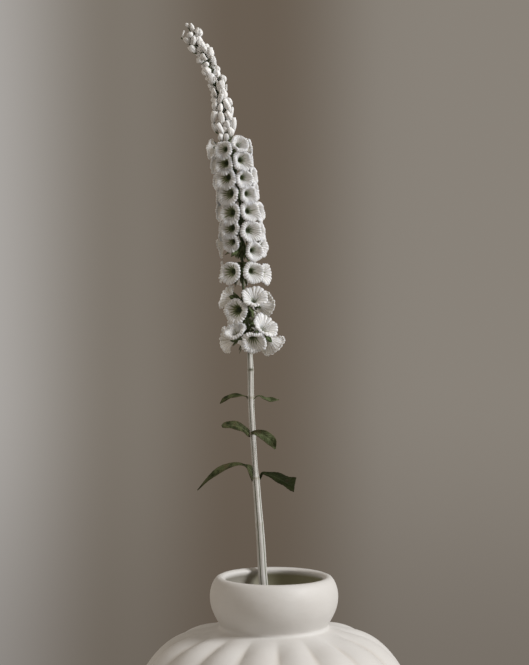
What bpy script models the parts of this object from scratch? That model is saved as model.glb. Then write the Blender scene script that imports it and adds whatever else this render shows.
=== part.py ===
"""A tall cut flower spike standing in a round ribbed ceramic vase.

Metres, +Z up. The origin is the centre of the vase's foot, on the surface it
stands on. +X is to the right and -Y is the front, the side the spike shows best.
Azimuths are turned from the front (-Y) towards +X.
"""

import math

import bmesh
import bpy
import numpy as np
from mathutils import Matrix, Vector

MM = 0.001
GAP = 0.3 * MM  # kept between touching pieces

# ---- vase ----------------------------------------------------------------
VASE_STEPS = 48  # round the axis: three to a lobe
LOBES = 16
VALLEY_AZIMUTH = 2.3  # degrees, the valley next to the front centre
LOBE_DEPTH = 4.6 * MM
LOBE_TOP = (0.2655, 0.248)  # the lobes grow from nothing between these heights
LOBE_FOOT = (0.006, 0.050)
FLOOR = 10.0 * MM
# Outer profile, radius and height in mm, from the lip down to the foot.
COLLAR = [(57.6, 323.4), (62.6, 321.2), (67.2, 314.8), (70.2, 304.5), (69.8, 293.0),
          (66.0, 281.8), (57.6, 268.4)]
BODY = [(61.0, 266.2), (78.0, 262.9), (98.0, 257.4), (115.0, 248.8), (131.0, 234.0),
        (146.5, 212.0), (157.6, 184.0), (162.5, 150.0), (158.6, 112.0), (146.0, 72.0),
        (123.0, 36.0), (96.0, 11.0), (84.0, 1.4), (82.0, 0.0)]
# The foot is a flat ring round a shallow recess.
FOOT = [(72.0, 0.0), (69.6, 2.2), (0.0, 2.2)]
# Inner profile, from the middle of the floor up to the lip.
INSIDE = [(62.0, 10.0), (100.0, 24.0), (132.0, 60.0), (150.5, 108.0), (154.0, 152.0),
          (143.0, 198.0), (120.0, 230.5), (92.0, 247.5), (52.6, 260.0), (51.6, 270.0),
          (61.0, 287.0), (62.2, 301.0), (58.4, 313.0), (53.6, 319.4)]

# ---- stem: x, y, z and radius in mm, from the cut foot to the tip -----------
STEM = [(5.5, 16.5, 10.95, 5.0), (2.0, 23.6, 90.0, 5.0), (-3.6, 33.0, 190.0, 5.05),
        (-9.6, 41.8, 280.0, 5.1), (-12.8, 45.4, 319.5, 5.1), (-15.0, 48.6, 355.0, 4.8),
        (-18.6, 52.8, 400.0, 4.35), (-20.4, 54.7, 423.5, 4.3), (-23.2, 57.7, 468.0, 3.85),
        (-25.9, 60.5, 513.0, 3.75), (-26.9, 63.0, 558.0, 3.6), (-29.9, 64.9, 598.5, 3.4),
        (-33.4, 66.1, 627.0, 3.2), (-35.8, 67.4, 659.0, 3.1), (-36.1, 68.7, 698.0, 2.9),
        (-37.4, 69.5, 728.0, 2.8), (-40.0, 70.0, 749.0, 2.6), (-43.2, 70.3, 768.5, 2.4),
        (-48.0, 70.9, 799.5, 2.2), (-54.7, 71.3, 825.0, 1.9), (-58.7, 71.6, 845.7, 1.7),
        (-63.6, 71.9, 868.8, 1.5), (-72.0, 72.2, 890.6, 1.3), (-82.0, 72.4, 913.5, 1.1),
        (-95.0, 72.5, 935.5, 0.9)]

# ---- flowers -------------------------------------------------------------
BELL_STEPS = 10
# Radius and height along a bell with rim radius 1 and length 1, from the middle
# of its throat, over the rim, to the foot of its stalk.
BELL = [(0.0, 0.62), (0.52, 0.80), (0.93, 1.0), (1.0, 0.975), (0.50, 0.58),
        (0.24, 0.38), (0.11, 0.22), (0.10, 0.0), (0.0, 0.0)]
# Each whorl: side, azimuth in degrees, height of the rim's centre in mm,
# distance of that centre from the stem's axis in mm, rim radius in mm, and how
# far the bell looks up in degrees. The side names each flower.
WHORLS = [
    [("front_left", -28, 797.0, 22.5, 8.4, -6), ("front_right", 31, 804.5, 22.0, 8.6, 10),
     ("back_left", -126, 799.5, 22.0, 8.2, 0), ("back_right", 122, 800.5, 22.0, 8.2, 0)],
    [("front_left", -33, 780.3, 23.0, 7.7, -6), ("front_right", 27, 784.5, 23.0, 8.6, -4),
     ("back_left", -118, 782.0, 22.5, 7.7, -4), ("back_right", 128, 782.5, 22.5, 7.9, -4)],
    [("front_left", -33, 764.0, 23.0, 7.9, -6), ("front_right", 25, 764.2, 23.0, 8.6, -5),
     ("back_left", -132, 764.5, 23.0, 8.2, -5), ("back_right", 118, 765.0, 23.5, 8.4, -5)],
    [("front_left", -33, 745.9, 23.5, 8.9, -6), ("front_right", 31, 745.4, 23.5, 8.4, -10),
     ("left", -100, 746.5, 22.5, 8.6, -5), ("right", 99, 746.0, 22.5, 8.6, -5),
     ("back", 180, 747.0, 23.0, 9.0, -4)],
    [("front_left", -34, 725.0, 23.5, 9.4, -4), ("front_right", 28, 726.8, 23.5, 9.2, 0),
     ("back_left", -124, 725.5, 24.0, 9.2, -4), ("back_right", 124, 726.5, 24.0, 9.4, -4)],
    [("front_left", -35, 706.6, 24.0, 8.4, -5), ("front_right", 27, 704.6, 24.0, 9.6, -4),
     ("left", -98, 705.5, 23.5, 9.0, -5), ("right", 98, 705.0, 23.5, 9.2, -5),
     ("back", -178, 706.0, 24.0, 9.4, -4)],
    [("front_left", -30, 688.6, 24.0, 8.6, -10), ("front_right", 37, 681.6, 24.5, 9.4, -4),
     ("back_left", -122, 684.5, 25.0, 9.6, -14), ("back_right", 120, 683.5, 25.5, 9.8, -8)],
    [("front_left", -36, 657.0, 24.0, 10.6, -5), ("front_right", 34, 657.7, 24.0, 10.8, -5),
     ("left", -98, 656.5, 25.0, 10.8, -5), ("right", 103, 656.5, 26.0, 10.8, -5),
     ("back", 180, 657.5, 24.5, 10.8, -5)],
    [("front_left", -30, 613.8, 23.5, 10.8, -6), ("front_right", 30, 630.5, 24.0, 11.0, 18),
     ("back_left", -98, 631.5, 25.5, 11.4, 18), ("back_right", 98, 623.0, 27.5, 11.6, 8)],
    [("front_left", -37, 591.8, 24.5, 9.6, -6), ("front_right", 47, 599.8, 27.0, 10.8, 10),
     ("left", -128, 602.5, 26.0, 11.2, 0), ("right", 118, 597.0, 28.0, 10.6, 0),
     ("back", 176, 612.5, 26.0, 11.6, 6)],
    [("front", 12, 576.4, 26.0, 10.8, -24), ("left", -84, 577.5, 28.0, 11.2, -4),
     ("right", 80, 573.0, 28.0, 11.4, -30), ("back_left", -154, 577.5, 26.5, 10.8, -14),
     ("back_right", 144, 571.5, 27.5, 10.8, -20)],
]

# ---- buds ----------------------------------------------------------------
BUD_TURN = 137.5  # degrees from one bud to the next
BUD_LONG, BUD_WIDE = 5.4 * MM, 3.7 * MM  # half the length and half the width
BUD_GROUPS = {  # first and last height on the stem, and the number of buds
    "bud_cluster_lower": (0.8175, 0.8495, 13),
    "bud_cluster_middle": (0.8603, 0.8920, 12),
    "bud_cluster_tip": (0.9028, 0.9345, 11),
}

# ---- leaves: points from the stem's centre at the knot, and half widths, mm ---
LEAVES = {
    "leaf_upper_left": (515.0, (0.0, -0.30, 1.0), [
        (-4.3, -0.6, 0.0, 1.2), (-8.2, -2.0, 3.0, 1.5), (-16.0, -4.0, 6.0, 5.4),
        (-25.0, -5.0, 2.5, 4.9), (-34.4, -6.0, -6.3, 0.5)]),
    "leaf_upper_right": (515.0, (0.0, -0.30, 1.0), [
        (4.3, -0.6, 0.0, 1.2), (8.5, -2.0, 2.6, 1.5), (16.5, -3.0, 4.2, 5.2),
        (25.0, -4.0, 1.8, 4.6), (33.2, -5.0, -3.4, 0.5)]),
    "leaf_middle_left": (474.5, (0.0, -0.75, 0.66), [
        (-4.5, -1.8, -1.5, 1.2), (-7.0, -4.0, 4.0, 2.2), (-16.0, -8.0, 9.6, 5.8),
        (-26.5, -10.5, 11.8, 5.6), (-34.8, -12.0, 9.2, 1.6)]),
    "leaf_middle_right": (474.5, (-0.35, -0.75, 0.55), [
        (1.0, -4.9, 2.6, 1.2), (5.0, -8.0, 3.0, 2.6), (14.7, -14.0, -1.1, 5.2),
        (22.2, -18.0, -8.0, 5.2), (25.6, -20.0, -16.0, 0.6)]),
    "leaf_lower_left": (423.5, (0.1, -0.45, 0.9), [
        (-5.7, -1.0, 1.0, 1.5), (-11.6, -2.0, 14.6, 1.4), (-21.6, -3.0, 18.9, 4.4),
        (-30.0, -5.0, 17.4, 5.3), (-42.0, -7.0, 11.4, 4.6), (-54.0, -9.0, 0.6, 3.0),
        (-65.8, -10.0, -12.1, 0.4)]),
    "leaf_lower_right": (423.5, (-0.2, -0.7, 0.7), [
        (5.5, -1.4, 1.1, 1.3), (8.4, -4.0, 6.6, 2.0), (16.1, -8.0, 4.6, 5.6),
        (27.6, -12.0, 0.4, 6.8), (37.9, -14.0, -5.2, 5.8), (45.6, -15.0, -15.5, 0.7)]),
}
LEAF_THICK = 1.3 * MM
LEAF_LENGTHS, LEAF_WIDTHS = 10, 2  # faces along and across a leaf

# ---- colours -------------------------------------------------------------
CERAMIC = ((0.60, 0.555, 0.49), 0.62)
STEM_SKIN = ((0.42, 0.40, 0.30), 0.70)
PETAL = ((0.76, 0.73, 0.67), 0.75)
BUD = ((0.78, 0.76, 0.71), 0.65)
LEAF = ((0.055, 0.085, 0.030), 0.60)


def clear_scene():
    for obj in list(bpy.data.objects):
        bpy.data.objects.remove(obj, do_unlink=True)


def make_collection(name, hidden=False):
    collection = bpy.data.collections.new(name)
    bpy.context.scene.collection.children.link(collection)
    collection.hide_render = hidden
    return collection


def add_object(name, data, collection):
    obj = bpy.data.objects.new(name, data)
    collection.objects.link(obj)
    return obj


def give_material(obj, look):
    colour, roughness = look
    material = bpy.data.materials.new(obj.name)
    material.use_nodes = True
    shader = material.node_tree.nodes["Principled BSDF"]
    shader.inputs["Base Color"].default_value = (*colour, 1.0)
    shader.inputs["Roughness"].default_value = roughness
    shader.inputs["Metallic"].default_value = 0.0
    material.diffuse_color = (*colour, 1.0)
    if obj.material_slots:
        obj.material_slots[0].link = "OBJECT"
        obj.material_slots[0].material = material
    else:
        obj.data.materials.append(material)


def smooth_curve(points, per_span):
    """Points on a Catmull-Rom curve through the given ones, chord-length spaced."""
    p = np.array(points, float)
    span = np.linalg.norm(np.diff(p[:, :3], axis=0), axis=1) ** 0.5
    t = np.concatenate([[0.0], np.cumsum(span)])
    slope = np.empty_like(p)
    secant = np.diff(p, axis=0) / np.diff(t)[:, None]
    slope[0], slope[-1] = secant[0], secant[-1]
    w = np.diff(t)
    slope[1:-1] = (secant[:-1] * w[1:, None] + secant[1:] * w[:-1, None]) / (w[1:] + w[:-1])[:, None]
    out = []
    for i in range(len(p) - 1):
        for s in np.arange(per_span) / per_span:
            h = t[i + 1] - t[i]
            out.append((2 * s**3 - 3 * s**2 + 1) * p[i] + (s**3 - 2 * s**2 + s) * h * slope[i]
                       + (3 * s**2 - 2 * s**3) * p[i + 1] + (s**3 - s**2) * h * slope[i + 1])
    out.append(p[-1])
    return np.array(out)


STEM_LINE = smooth_curve(STEM, 12) * MM
STEM_RINGS = [tuple(p) for p in STEM_LINE[::6]]


def stem_at(height):
    """Centre and radius of the stem at a height."""
    line = STEM_LINE
    return (Vector([float(np.interp(height, line[:, 2], line[:, i])) for i in range(3)]),
            float(np.interp(height, line[:, 2], line[:, 3])))


def stem_direction(height):
    below, above = stem_at(height - 0.002)[0], stem_at(height + 0.002)[0]
    return (above - below).normalized()


def round_profile(points):
    """A mesh of one open line of edges in the XZ plane, for a Screw modifier."""
    mesh = bpy.data.meshes.new("profile")
    mesh.from_pydata([(r, 0.0, z) for r, z in points], [(i, i + 1) for i in range(len(points) - 1)], [])
    return mesh


def add_screw(obj, steps):
    screw = obj.modifiers.new("turn", "SCREW")
    screw.steps = screw.render_steps = steps
    screw.axis = "Z"
    screw.use_merge_vertices = True
    screw.merge_threshold = 0.00005
    screw.use_smooth_shade = True
    return screw


def turned_mesh(name, points, steps):
    """The mesh of a profile turned about Z, as real faces."""
    guide = bpy.data.objects.new(name + "_profile", round_profile(points))
    bpy.context.scene.collection.objects.link(guide)
    add_screw(guide, steps)
    mesh = bpy.data.meshes.new_from_object(guide.evaluated_get(bpy.context.evaluated_depsgraph_get()))
    bpy.data.objects.remove(guide, do_unlink=True)
    mesh.name = name
    return mesh


def fade(value, start, end):
    t = min(max((value - start) / (end - start), 0.0), 1.0)
    return t * t * (3 - 2 * t)


def make_vase(collection):
    mm_points = [(0.0, FLOOR / MM)] + INSIDE + COLLAR + BODY + FOOT
    mesh = turned_mesh("vase", [(r * MM, z * MM) for r, z in mm_points], VASE_STEPS)
    # Turned so that a line of points falls in each valley.
    mesh.transform(Matrix.Rotation(math.radians(VALLEY_AZIMUTH), 4, "Z"))
    # The lobes: every outer point between the collar and the foot is drawn in
    # towards the axis, most at a valley and not at all on a lobe's crest.
    inner_r = np.array([r for r, _ in INSIDE]) * MM
    inner_z = np.array([z for _, z in INSIDE]) * MM
    edit = bmesh.new()
    edit.from_mesh(mesh)
    for vert in edit.verts:
        x, y, z = vert.co
        r = math.hypot(x, y)
        if r < 0.0605 or z > 0.2665 or z < 0.001:
            continue
        if r < float(np.interp(z, inner_z[:9], inner_r[:9])) + 0.002:
            continue  # the inside stays round
        turn = math.atan2(x, -y) - math.radians(VALLEY_AZIMUTH)
        crest = math.sqrt(math.sin(LOBES / 2 * turn) ** 2 + 0.01)
        depth = LOBE_DEPTH * fade(z, LOBE_TOP[0], LOBE_TOP[1]) * fade(z, LOBE_FOOT[0], LOBE_FOOT[1])
        scale = 1 - depth * max(0.0, 1 - crest) / r
        vert.co.x, vert.co.y = x * scale, y * scale
    edit.to_mesh(mesh)
    edit.free()
    vase = add_object("vase", mesh, collection)
    mesh.shade_smooth()
    mesh.set_sharp_from_angle(angle=math.radians(50))
    give_material(vase, CERAMIC)
    return vase


def tube(name, points, collection, extra=0.0, resolution=2):
    """A POLY curve with a round bevel and filled caps; each point has its radius."""
    curve = bpy.data.curves.new(name, "CURVE")
    curve.dimensions = "3D"
    curve.bevel_depth = 1.0 * MM
    curve.bevel_resolution = resolution
    curve.use_fill_caps = True
    spline = curve.splines.new("POLY")
    spline.points.add(len(points) - 1)
    for point, (x, y, z, r) in zip(spline.points, points):
        point.co = (x, y, z, 1.0)
        point.radius = (r + extra) / (1.0 * MM)
    spline.use_smooth = True
    return add_object(name, curve, collection)


def make_stem(collection):
    stem = tube("stem", STEM_RINGS, collection)
    give_material(stem, STEM_SKIN)
    return stem


def looking(azimuth, pitch):
    a, p = math.radians(azimuth), math.radians(pitch)
    return Vector((math.sin(a) * math.cos(p), -math.cos(a) * math.cos(p), math.sin(p)))


def make_flowers(collection):
    bell = round_profile(BELL)
    bell.name = "bell_profile"
    for number, whorl in enumerate(WHORLS, start=1):
        for side, azimuth, height, reach, radius, pitch in whorl:
            axis, _ = stem_at(height * MM)
            centre = axis + looking(azimuth, 0) * reach * MM
            centre.z = height * MM
            aim = looking(azimuth, pitch)
            # The stalk starts just off the stem's skin.
            start_height = centre.z - aim.z * reach * MM
            _, stem_radius = stem_at(start_height)
            length = reach * MM - stem_radius - 1.2 * GAP - 0.25 * MM - abs(aim.z) * 1.2 * MM
            foot = centre - aim * length
            flower = add_object(f"flower_{number:02d}_{side}", bell, collection)
            add_screw(flower, BELL_STEPS)
            flower.location = foot
            flower.rotation_mode = "QUATERNION"
            flower.rotation_quaternion = aim.to_track_quat("Z", "Y")
            flower.scale = (radius * MM, radius * MM, length)
            give_material(flower, PETAL)


def bud_mesh():
    mesh = bpy.data.meshes.new("bud")
    edit = bmesh.new()
    bmesh.ops.create_uvsphere(edit, u_segments=6, v_segments=4, radius=1.0)
    edit.to_mesh(mesh)
    edit.free()
    return mesh


def as_mesh(curve_object, collection):
    """The same tube as a welded mesh, which a Boolean can use."""
    graph = bpy.context.evaluated_depsgraph_get()
    mesh = bpy.data.meshes.new_from_object(curve_object.evaluated_get(graph))
    edit = bmesh.new()
    edit.from_mesh(mesh)
    bmesh.ops.remove_doubles(edit, verts=edit.verts, dist=0.000001)
    bmesh.ops.recalc_face_normals(edit, faces=edit.faces)
    edit.to_mesh(mesh)
    edit.free()
    obj = add_object(curve_object.name + "_mesh", mesh, collection)
    obj.matrix_world = curve_object.matrix_world
    bpy.data.objects.remove(curve_object, do_unlink=True)
    return obj


def hide_helper(obj):
    obj.hide_render = True
    obj.display_type = "WIRE"


def add_boolean(obj, operation, other):
    boolean = obj.modifiers.new(operation.lower(), "BOOLEAN")
    boolean.operation = operation
    boolean.solver = "EXACT"
    if isinstance(other, bpy.types.Collection):
        boolean.operand_type = "COLLECTION"
        boolean.collection = other
    else:
        boolean.object = other


def make_buds(collection, cutters):
    shape = bud_mesh()
    tip = Vector(STEM_RINGS[-1][:3])
    beyond = tip + stem_direction(tip.z - 0.004) * 2 * GAP
    number = 0
    for name, (first, last, count) in BUD_GROUPS.items():
        # A thin sheath of small bracts round the stem carries the buds.
        inside = [(*stem_at(h)[0], stem_at(h)[1]) for h in np.linspace(first - 0.003, last + 0.002, 6)]
        sheath = as_mesh(tube(name + "_sheath", inside, cutters, extra=1.9 * MM, resolution=1), collection)
        sheath.name = name
        buds = bpy.data.collections.new(name + "_buds")
        cutters.children.link(buds)
        buds.hide_render = True
        for k in range(count):
            height = first + (last - first) * k / (count - 1)
            centre, _ = stem_at(height)
            along = stem_direction(height)
            azimuth = math.radians(BUD_TURN * number)
            side = Vector((math.sin(azimuth), -math.cos(azimuth), 0.0))
            side = (side - along * side.dot(along)).normalized()
            aim = (side * 0.80 + along * 0.60).normalized()
            if name == "bud_cluster_tip" and k == count - 1:
                aim = along
            size = 0.94 + 0.10 * math.sin(2.4 * number)
            bud = add_object(f"{name}_bud_{k:02d}", shape, buds)
            bud.location = centre + aim * (BUD_LONG * size + 0.2 * MM)
            bud.rotation_mode = "QUATERNION"
            bud.rotation_quaternion = aim.to_track_quat("Z", "Y")
            bud.scale = (BUD_WIDE * size, BUD_WIDE * size, BUD_LONG * size)
            hide_helper(bud)
            number += 1
        near = [p for p in STEM_RINGS if p[2] > first - 0.04]
        core = as_mesh(tube(name + "_core", near + [(*beyond, STEM_RINGS[-1][3])], cutters,
                            extra=GAP + 0.1 * MM), cutters)
        hide_helper(core)
        add_boolean(sheath, "UNION", buds)
        add_boolean(sheath, "DIFFERENCE", core)
        give_material(sheath, BUD)


def make_leaf(name, knot, face_up, points, collection):
    centre, _ = stem_at(knot * MM)
    line = smooth_curve(points, 12) * MM
    length = np.concatenate([[0.0], np.cumsum(np.linalg.norm(np.diff(line[:, :3], axis=0), axis=1))])
    length /= length[-1]
    hint = Vector(face_up).normalized()

    def at(u):
        return [float(np.interp(u, length, line[:, i])) for i in range(4)]

    edit = bmesh.new()
    bmesh.ops.create_grid(edit, x_segments=LEAF_LENGTHS, y_segments=LEAF_WIDTHS, size=1.0)
    for vert in edit.verts:
        u, v = (vert.co.x + 1) / 2, vert.co.y
        x, y, z, half = at(u)
        before, after = at(max(u - 0.02, 0.0)), at(min(u + 0.02, 1.0))
        tangent = Vector([after[i] - before[i] for i in range(3)]).normalized()
        across = tangent.cross(hint).normalized()
        up = across.cross(tangent)
        # The two halves rise from the midrib.
        vert.co = centre + Vector((x, y, z)) + across * v * half + up * abs(v) * half * 0.25
    mesh = bpy.data.meshes.new(name)
    edit.to_mesh(mesh)
    edit.free()
    leaf = add_object(name, mesh, collection)
    solidify = leaf.modifiers.new("thickness", "SOLIDIFY")
    solidify.thickness = LEAF_THICK
    solidify.offset = 0.0
    mesh.shade_smooth()
    give_material(leaf, LEAF)


def main():
    clear_scene()
    parts = make_collection("flower_spike_in_vase")
    cutters = make_collection("cutters", hidden=True)
    make_vase(parts)
    make_stem(parts)
    for name, (knot, face_up, points) in LEAVES.items():
        make_leaf(name, knot, face_up, points, parts)
    make_flowers(parts)
    make_buds(parts, cutters)


main()
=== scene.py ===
"""Looks for the cut flower spike in its ribbed ceramic vase.

Metres, +Z up, front is -Y. The CAD nodes give every piece its place; each piece
here stands for one of them, with the ribs, ruffles, veins and stalks that the
plain solids leave out. Azimuths are turned from the front (-Y) towards +X.
"""

import math

import bpy
import numpy as np
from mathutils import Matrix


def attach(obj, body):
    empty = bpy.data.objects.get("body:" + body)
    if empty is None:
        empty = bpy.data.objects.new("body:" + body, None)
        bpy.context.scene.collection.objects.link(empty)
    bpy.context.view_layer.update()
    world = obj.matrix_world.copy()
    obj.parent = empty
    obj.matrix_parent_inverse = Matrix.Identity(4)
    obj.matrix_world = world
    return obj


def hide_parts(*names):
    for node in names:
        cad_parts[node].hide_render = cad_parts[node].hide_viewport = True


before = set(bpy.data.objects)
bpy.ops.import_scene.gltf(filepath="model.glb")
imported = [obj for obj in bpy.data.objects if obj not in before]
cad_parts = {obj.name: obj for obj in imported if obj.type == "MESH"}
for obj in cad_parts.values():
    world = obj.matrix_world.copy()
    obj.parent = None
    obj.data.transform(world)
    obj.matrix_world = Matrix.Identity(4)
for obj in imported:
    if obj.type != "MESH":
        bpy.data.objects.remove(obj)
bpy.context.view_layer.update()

MM = 0.001
scene = bpy.context.scene

# ---- camera --------------------------------------------------------------
EYE = (-0.01045, -1.6, 0.590)
FOCAL = 1454.5  # in pixels of a picture 529 wide and 665 high

camera_data = bpy.data.cameras.new("camera")
camera_data.sensor_width = 36.0
camera_data.lens = FOCAL / 665 * 36.0
camera_data.clip_start = 0.05
camera_data.clip_end = 50.0
camera = bpy.data.objects.new("camera", camera_data)
camera.location = EYE
camera.rotation_euler = (math.radians(90), 0, 0)
scene.collection.objects.link(camera)
scene.camera = camera


def in_view(px, py, y):
    """The point at depth y (metres) that the picture shows at (px, py), in mm."""
    k = (y - EYE[1]) / FOCAL
    return np.array([(px - 264.5) * k + EYE[0], y, EYE[2] - (py - 332.5) * k]) / MM


# ---- small mathematics ---------------------------------------------------
def step(a, b, x):
    t = np.clip((np.asarray(x, float) - a) / (b - a), 0.0, 1.0)
    return t * t * (3 - 2 * t)


def unit(v):
    v = np.asarray(v, float)
    return v / np.maximum(np.linalg.norm(v, axis=-1, keepdims=True), 1e-12)


def looking(azimuth, pitch=0.0):
    a, p = math.radians(azimuth), math.radians(pitch)
    return np.array([math.sin(a) * math.cos(p), -math.cos(a) * math.cos(p), math.sin(p)])


def smooth_curve(points, per_span):
    """Points on a Catmull-Rom curve through the given ones, chord-length spaced."""
    p = np.array(points, float)
    span = np.linalg.norm(np.diff(p[:, :3], axis=0), axis=1) ** 0.5
    t = np.concatenate([[0.0], np.cumsum(span)])
    slope = np.empty_like(p)
    secant = np.diff(p, axis=0) / np.diff(t)[:, None]
    slope[0], slope[-1] = secant[0], secant[-1]
    w = np.diff(t)
    slope[1:-1] = (secant[:-1] * w[1:, None] + secant[1:] * w[:-1, None]) / (w[1:] + w[:-1])[:, None]
    out = []
    for i in range(len(p) - 1):
        for s in np.arange(per_span) / per_span:
            h = t[i + 1] - t[i]
            out.append((2 * s**3 - 3 * s**2 + 1) * p[i] + (s**3 - 2 * s**2 + s) * h * slope[i]
                       + (3 * s**2 - 2 * s**3) * p[i + 1] + (s**3 - s**2) * h * slope[i + 1])
    out.append(p[-1])
    return np.array(out)


def by_length(line, u):
    """The line's values at fractions u of its length."""
    d = np.concatenate([[0.0], np.cumsum(np.linalg.norm(np.diff(line[:, :3], axis=0), axis=1))])
    d /= d[-1]
    return np.stack([np.interp(u, d, line[:, i]) for i in range(line.shape[1])], axis=-1)


def ripple(angle, rng, orders, falloff=1.0):
    """A smooth periodic curve of unit size made from a few orders."""
    out = np.zeros_like(angle)
    total = 0.0
    for k in orders:
        size = rng.uniform(0.5, 1.0) / k**falloff
        out += size * np.cos(k * angle + rng.uniform(0, 2 * np.pi))
        total += size
    return out / total


# ---- meshes --------------------------------------------------------------
class Piece:
    """Closed bodies collected into one mesh; sizes in mm."""

    def __init__(self):
        self.verts, self.quads, self.tris = [], [], []
        self.quad_mats, self.tri_mats = [], []
        self.fields = {}
        self.count = 0

    def add(self, verts, quads, tris, material, fields):
        verts = np.asarray(verts, float).reshape(-1, 3)
        quads = np.asarray(quads, int).reshape(-1, 4)
        tris = np.asarray(tris, int).reshape(-1, 3)
        # Faces point out of the body.
        a, b, c, d = (verts[quads[:, i]] for i in range(4))
        volume = np.einsum("ij,ij->i", a, np.cross(b, c)).sum() + np.einsum("ij,ij->i", a, np.cross(c, d)).sum()
        if len(tris):
            a, b, c = (verts[tris[:, i]] for i in range(3))
            volume += np.einsum("ij,ij->i", a, np.cross(b, c)).sum()
        if volume < 0:
            quads, tris = quads[:, ::-1], tris[:, ::-1]
        self.verts.append(verts)
        self.quads.append(quads + self.count)
        self.tris.append(tris + self.count)
        self.quad_mats.append(np.full(len(quads), material))
        self.tri_mats.append(np.full(len(tris), material))
        for key, values in fields.items():
            values = np.broadcast_to(np.asarray(values, float), (len(verts),))
            self.fields.setdefault(key, []).append((self.count, values))
        self.count += len(verts)

    def rings(self, rows, material=0, **fields):
        """A closed body from rings of points, each end closed by a point."""
        rows = np.asarray(rows, float)
        n, m = rows.shape[:2]
        index = np.arange(n * m).reshape(n, m)
        nxt = np.roll(index, -1, axis=1)
        quads = np.stack([index[:-1], nxt[:-1], nxt[1:], index[1:]], axis=-1).reshape(-1, 4)
        first, last = n * m, n * m + 1
        tris = np.concatenate([
            np.stack([np.full(m, first), nxt[0], index[0]], axis=-1),
            np.stack([np.full(m, last), index[-1], nxt[-1]], axis=-1)])
        verts = np.concatenate([rows.reshape(-1, 3), [rows[0].mean(axis=0)], [rows[-1].mean(axis=0)]])
        full = {}
        for key, values in fields.items():
            values = np.broadcast_to(np.asarray(values, float), (n, m))
            full[key] = np.concatenate([values.reshape(-1), [values[0].mean()], [values[-1].mean()]])
        self.add(verts, quads, tris, material, full)

    def sheet(self, grid, thickness, material=0, **fields):
        """A closed thin body either side of a grid of points."""
        grid = np.asarray(grid, float)
        n, m = grid.shape[:2]
        along = np.gradient(grid, axis=0)
        across = np.gradient(grid, axis=1)
        normal = unit(np.cross(along, across))
        thickness = np.broadcast_to(np.asarray(thickness, float), (n, m))[..., None]
        top, low = grid + normal * thickness / 2, grid - normal * thickness / 2
        index = np.arange(n * m).reshape(n, m)
        under = index + n * m
        quads = [np.stack([index[:-1, :-1], index[:-1, 1:], index[1:, 1:], index[1:, :-1]], -1).reshape(-1, 4),
                 np.stack([under[:-1, :-1], under[1:, :-1], under[1:, 1:], under[:-1, 1:]], -1).reshape(-1, 4)]
        loop = np.concatenate([index[0, :-1], index[:-1, -1], index[-1, :0:-1], index[:0:-1, 0]])
        after = np.roll(loop, -1)
        quads.append(np.stack([after, loop, loop + n * m, after + n * m], -1))
        full = {key: np.concatenate([np.broadcast_to(np.asarray(v, float), (n, m)).reshape(-1)] * 2)
                for key, v in fields.items()}
        self.add(np.concatenate([top.reshape(-1, 3), low.reshape(-1, 3)]), np.concatenate(quads), [], material, full)

    def make(self, name, materials, slot, *nodes):
        verts = np.concatenate(self.verts) * MM
        quads, tris = np.concatenate(self.quads), np.concatenate(self.tris)
        mesh = bpy.data.meshes.new(name)
        mesh.vertices.add(len(verts))
        mesh.vertices.foreach_set("co", verts.astype(np.float32).ravel())
        mesh.loops.add(quads.size + tris.size)
        mesh.loops.foreach_set("vertex_index", np.concatenate([quads.ravel(), tris.ravel()]).astype(np.int32))
        mesh.polygons.add(len(quads) + len(tris))
        starts = np.concatenate([np.arange(len(quads)) * 4, quads.size + np.arange(len(tris)) * 3])
        mesh.polygons.foreach_set("loop_start", starts.astype(np.int32))
        mesh.polygons.foreach_set("material_index", np.concatenate(self.quad_mats + self.tri_mats).astype(np.int32))
        mesh.update(calc_edges=True)
        for key, parts in self.fields.items():
            values = np.zeros(len(verts), np.float32)
            for start, part in parts:
                values[start:start + len(part)] = part
            mesh.attributes.new(key, "FLOAT", "POINT").data.foreach_set("value", values)
        mesh.validate()
        mesh.shade_smooth()
        for material in materials:
            mesh.materials.append(material)
        piece = bpy.data.objects.new(name, mesh)
        scene.collection.objects.link(piece)
        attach(piece, "root")
        if nodes:
            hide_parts(*nodes)
        return piece


def tube_rings(path, radii, around, shape=None):
    """Rings square to a path; shape(angle, row) can vary the radius."""
    path, radii = np.asarray(path, float), np.asarray(radii, float)
    tangent = unit(np.gradient(path, axis=0))
    side = np.empty_like(path)
    seed = np.array([0.0, -1.0, 0.0]) if abs(tangent[0][1]) < 0.9 else np.array([1.0, 0.0, 0.0])
    side[0] = unit(seed - tangent[0] * seed.dot(tangent[0]))
    for i in range(1, len(path)):
        side[i] = unit(side[i - 1] - tangent[i] * side[i - 1].dot(tangent[i]))
    other = np.cross(tangent, side)
    angle = np.arange(around) / around * 2 * np.pi
    factor = np.ones((len(path), around)) if shape is None else shape(angle)
    ring = side[:, None] * np.cos(angle)[None, :, None] + other[:, None] * np.sin(angle)[None, :, None]
    return path[:, None] + ring * (radii[:, None] * factor)[..., None]


def bezier(a, b, c, d, n):
    t = np.linspace(0, 1, n)[:, None]
    return (1 - t)**3 * a + 3 * (1 - t)**2 * t * b + 3 * (1 - t) * t**2 * c + t**3 * d


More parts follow.
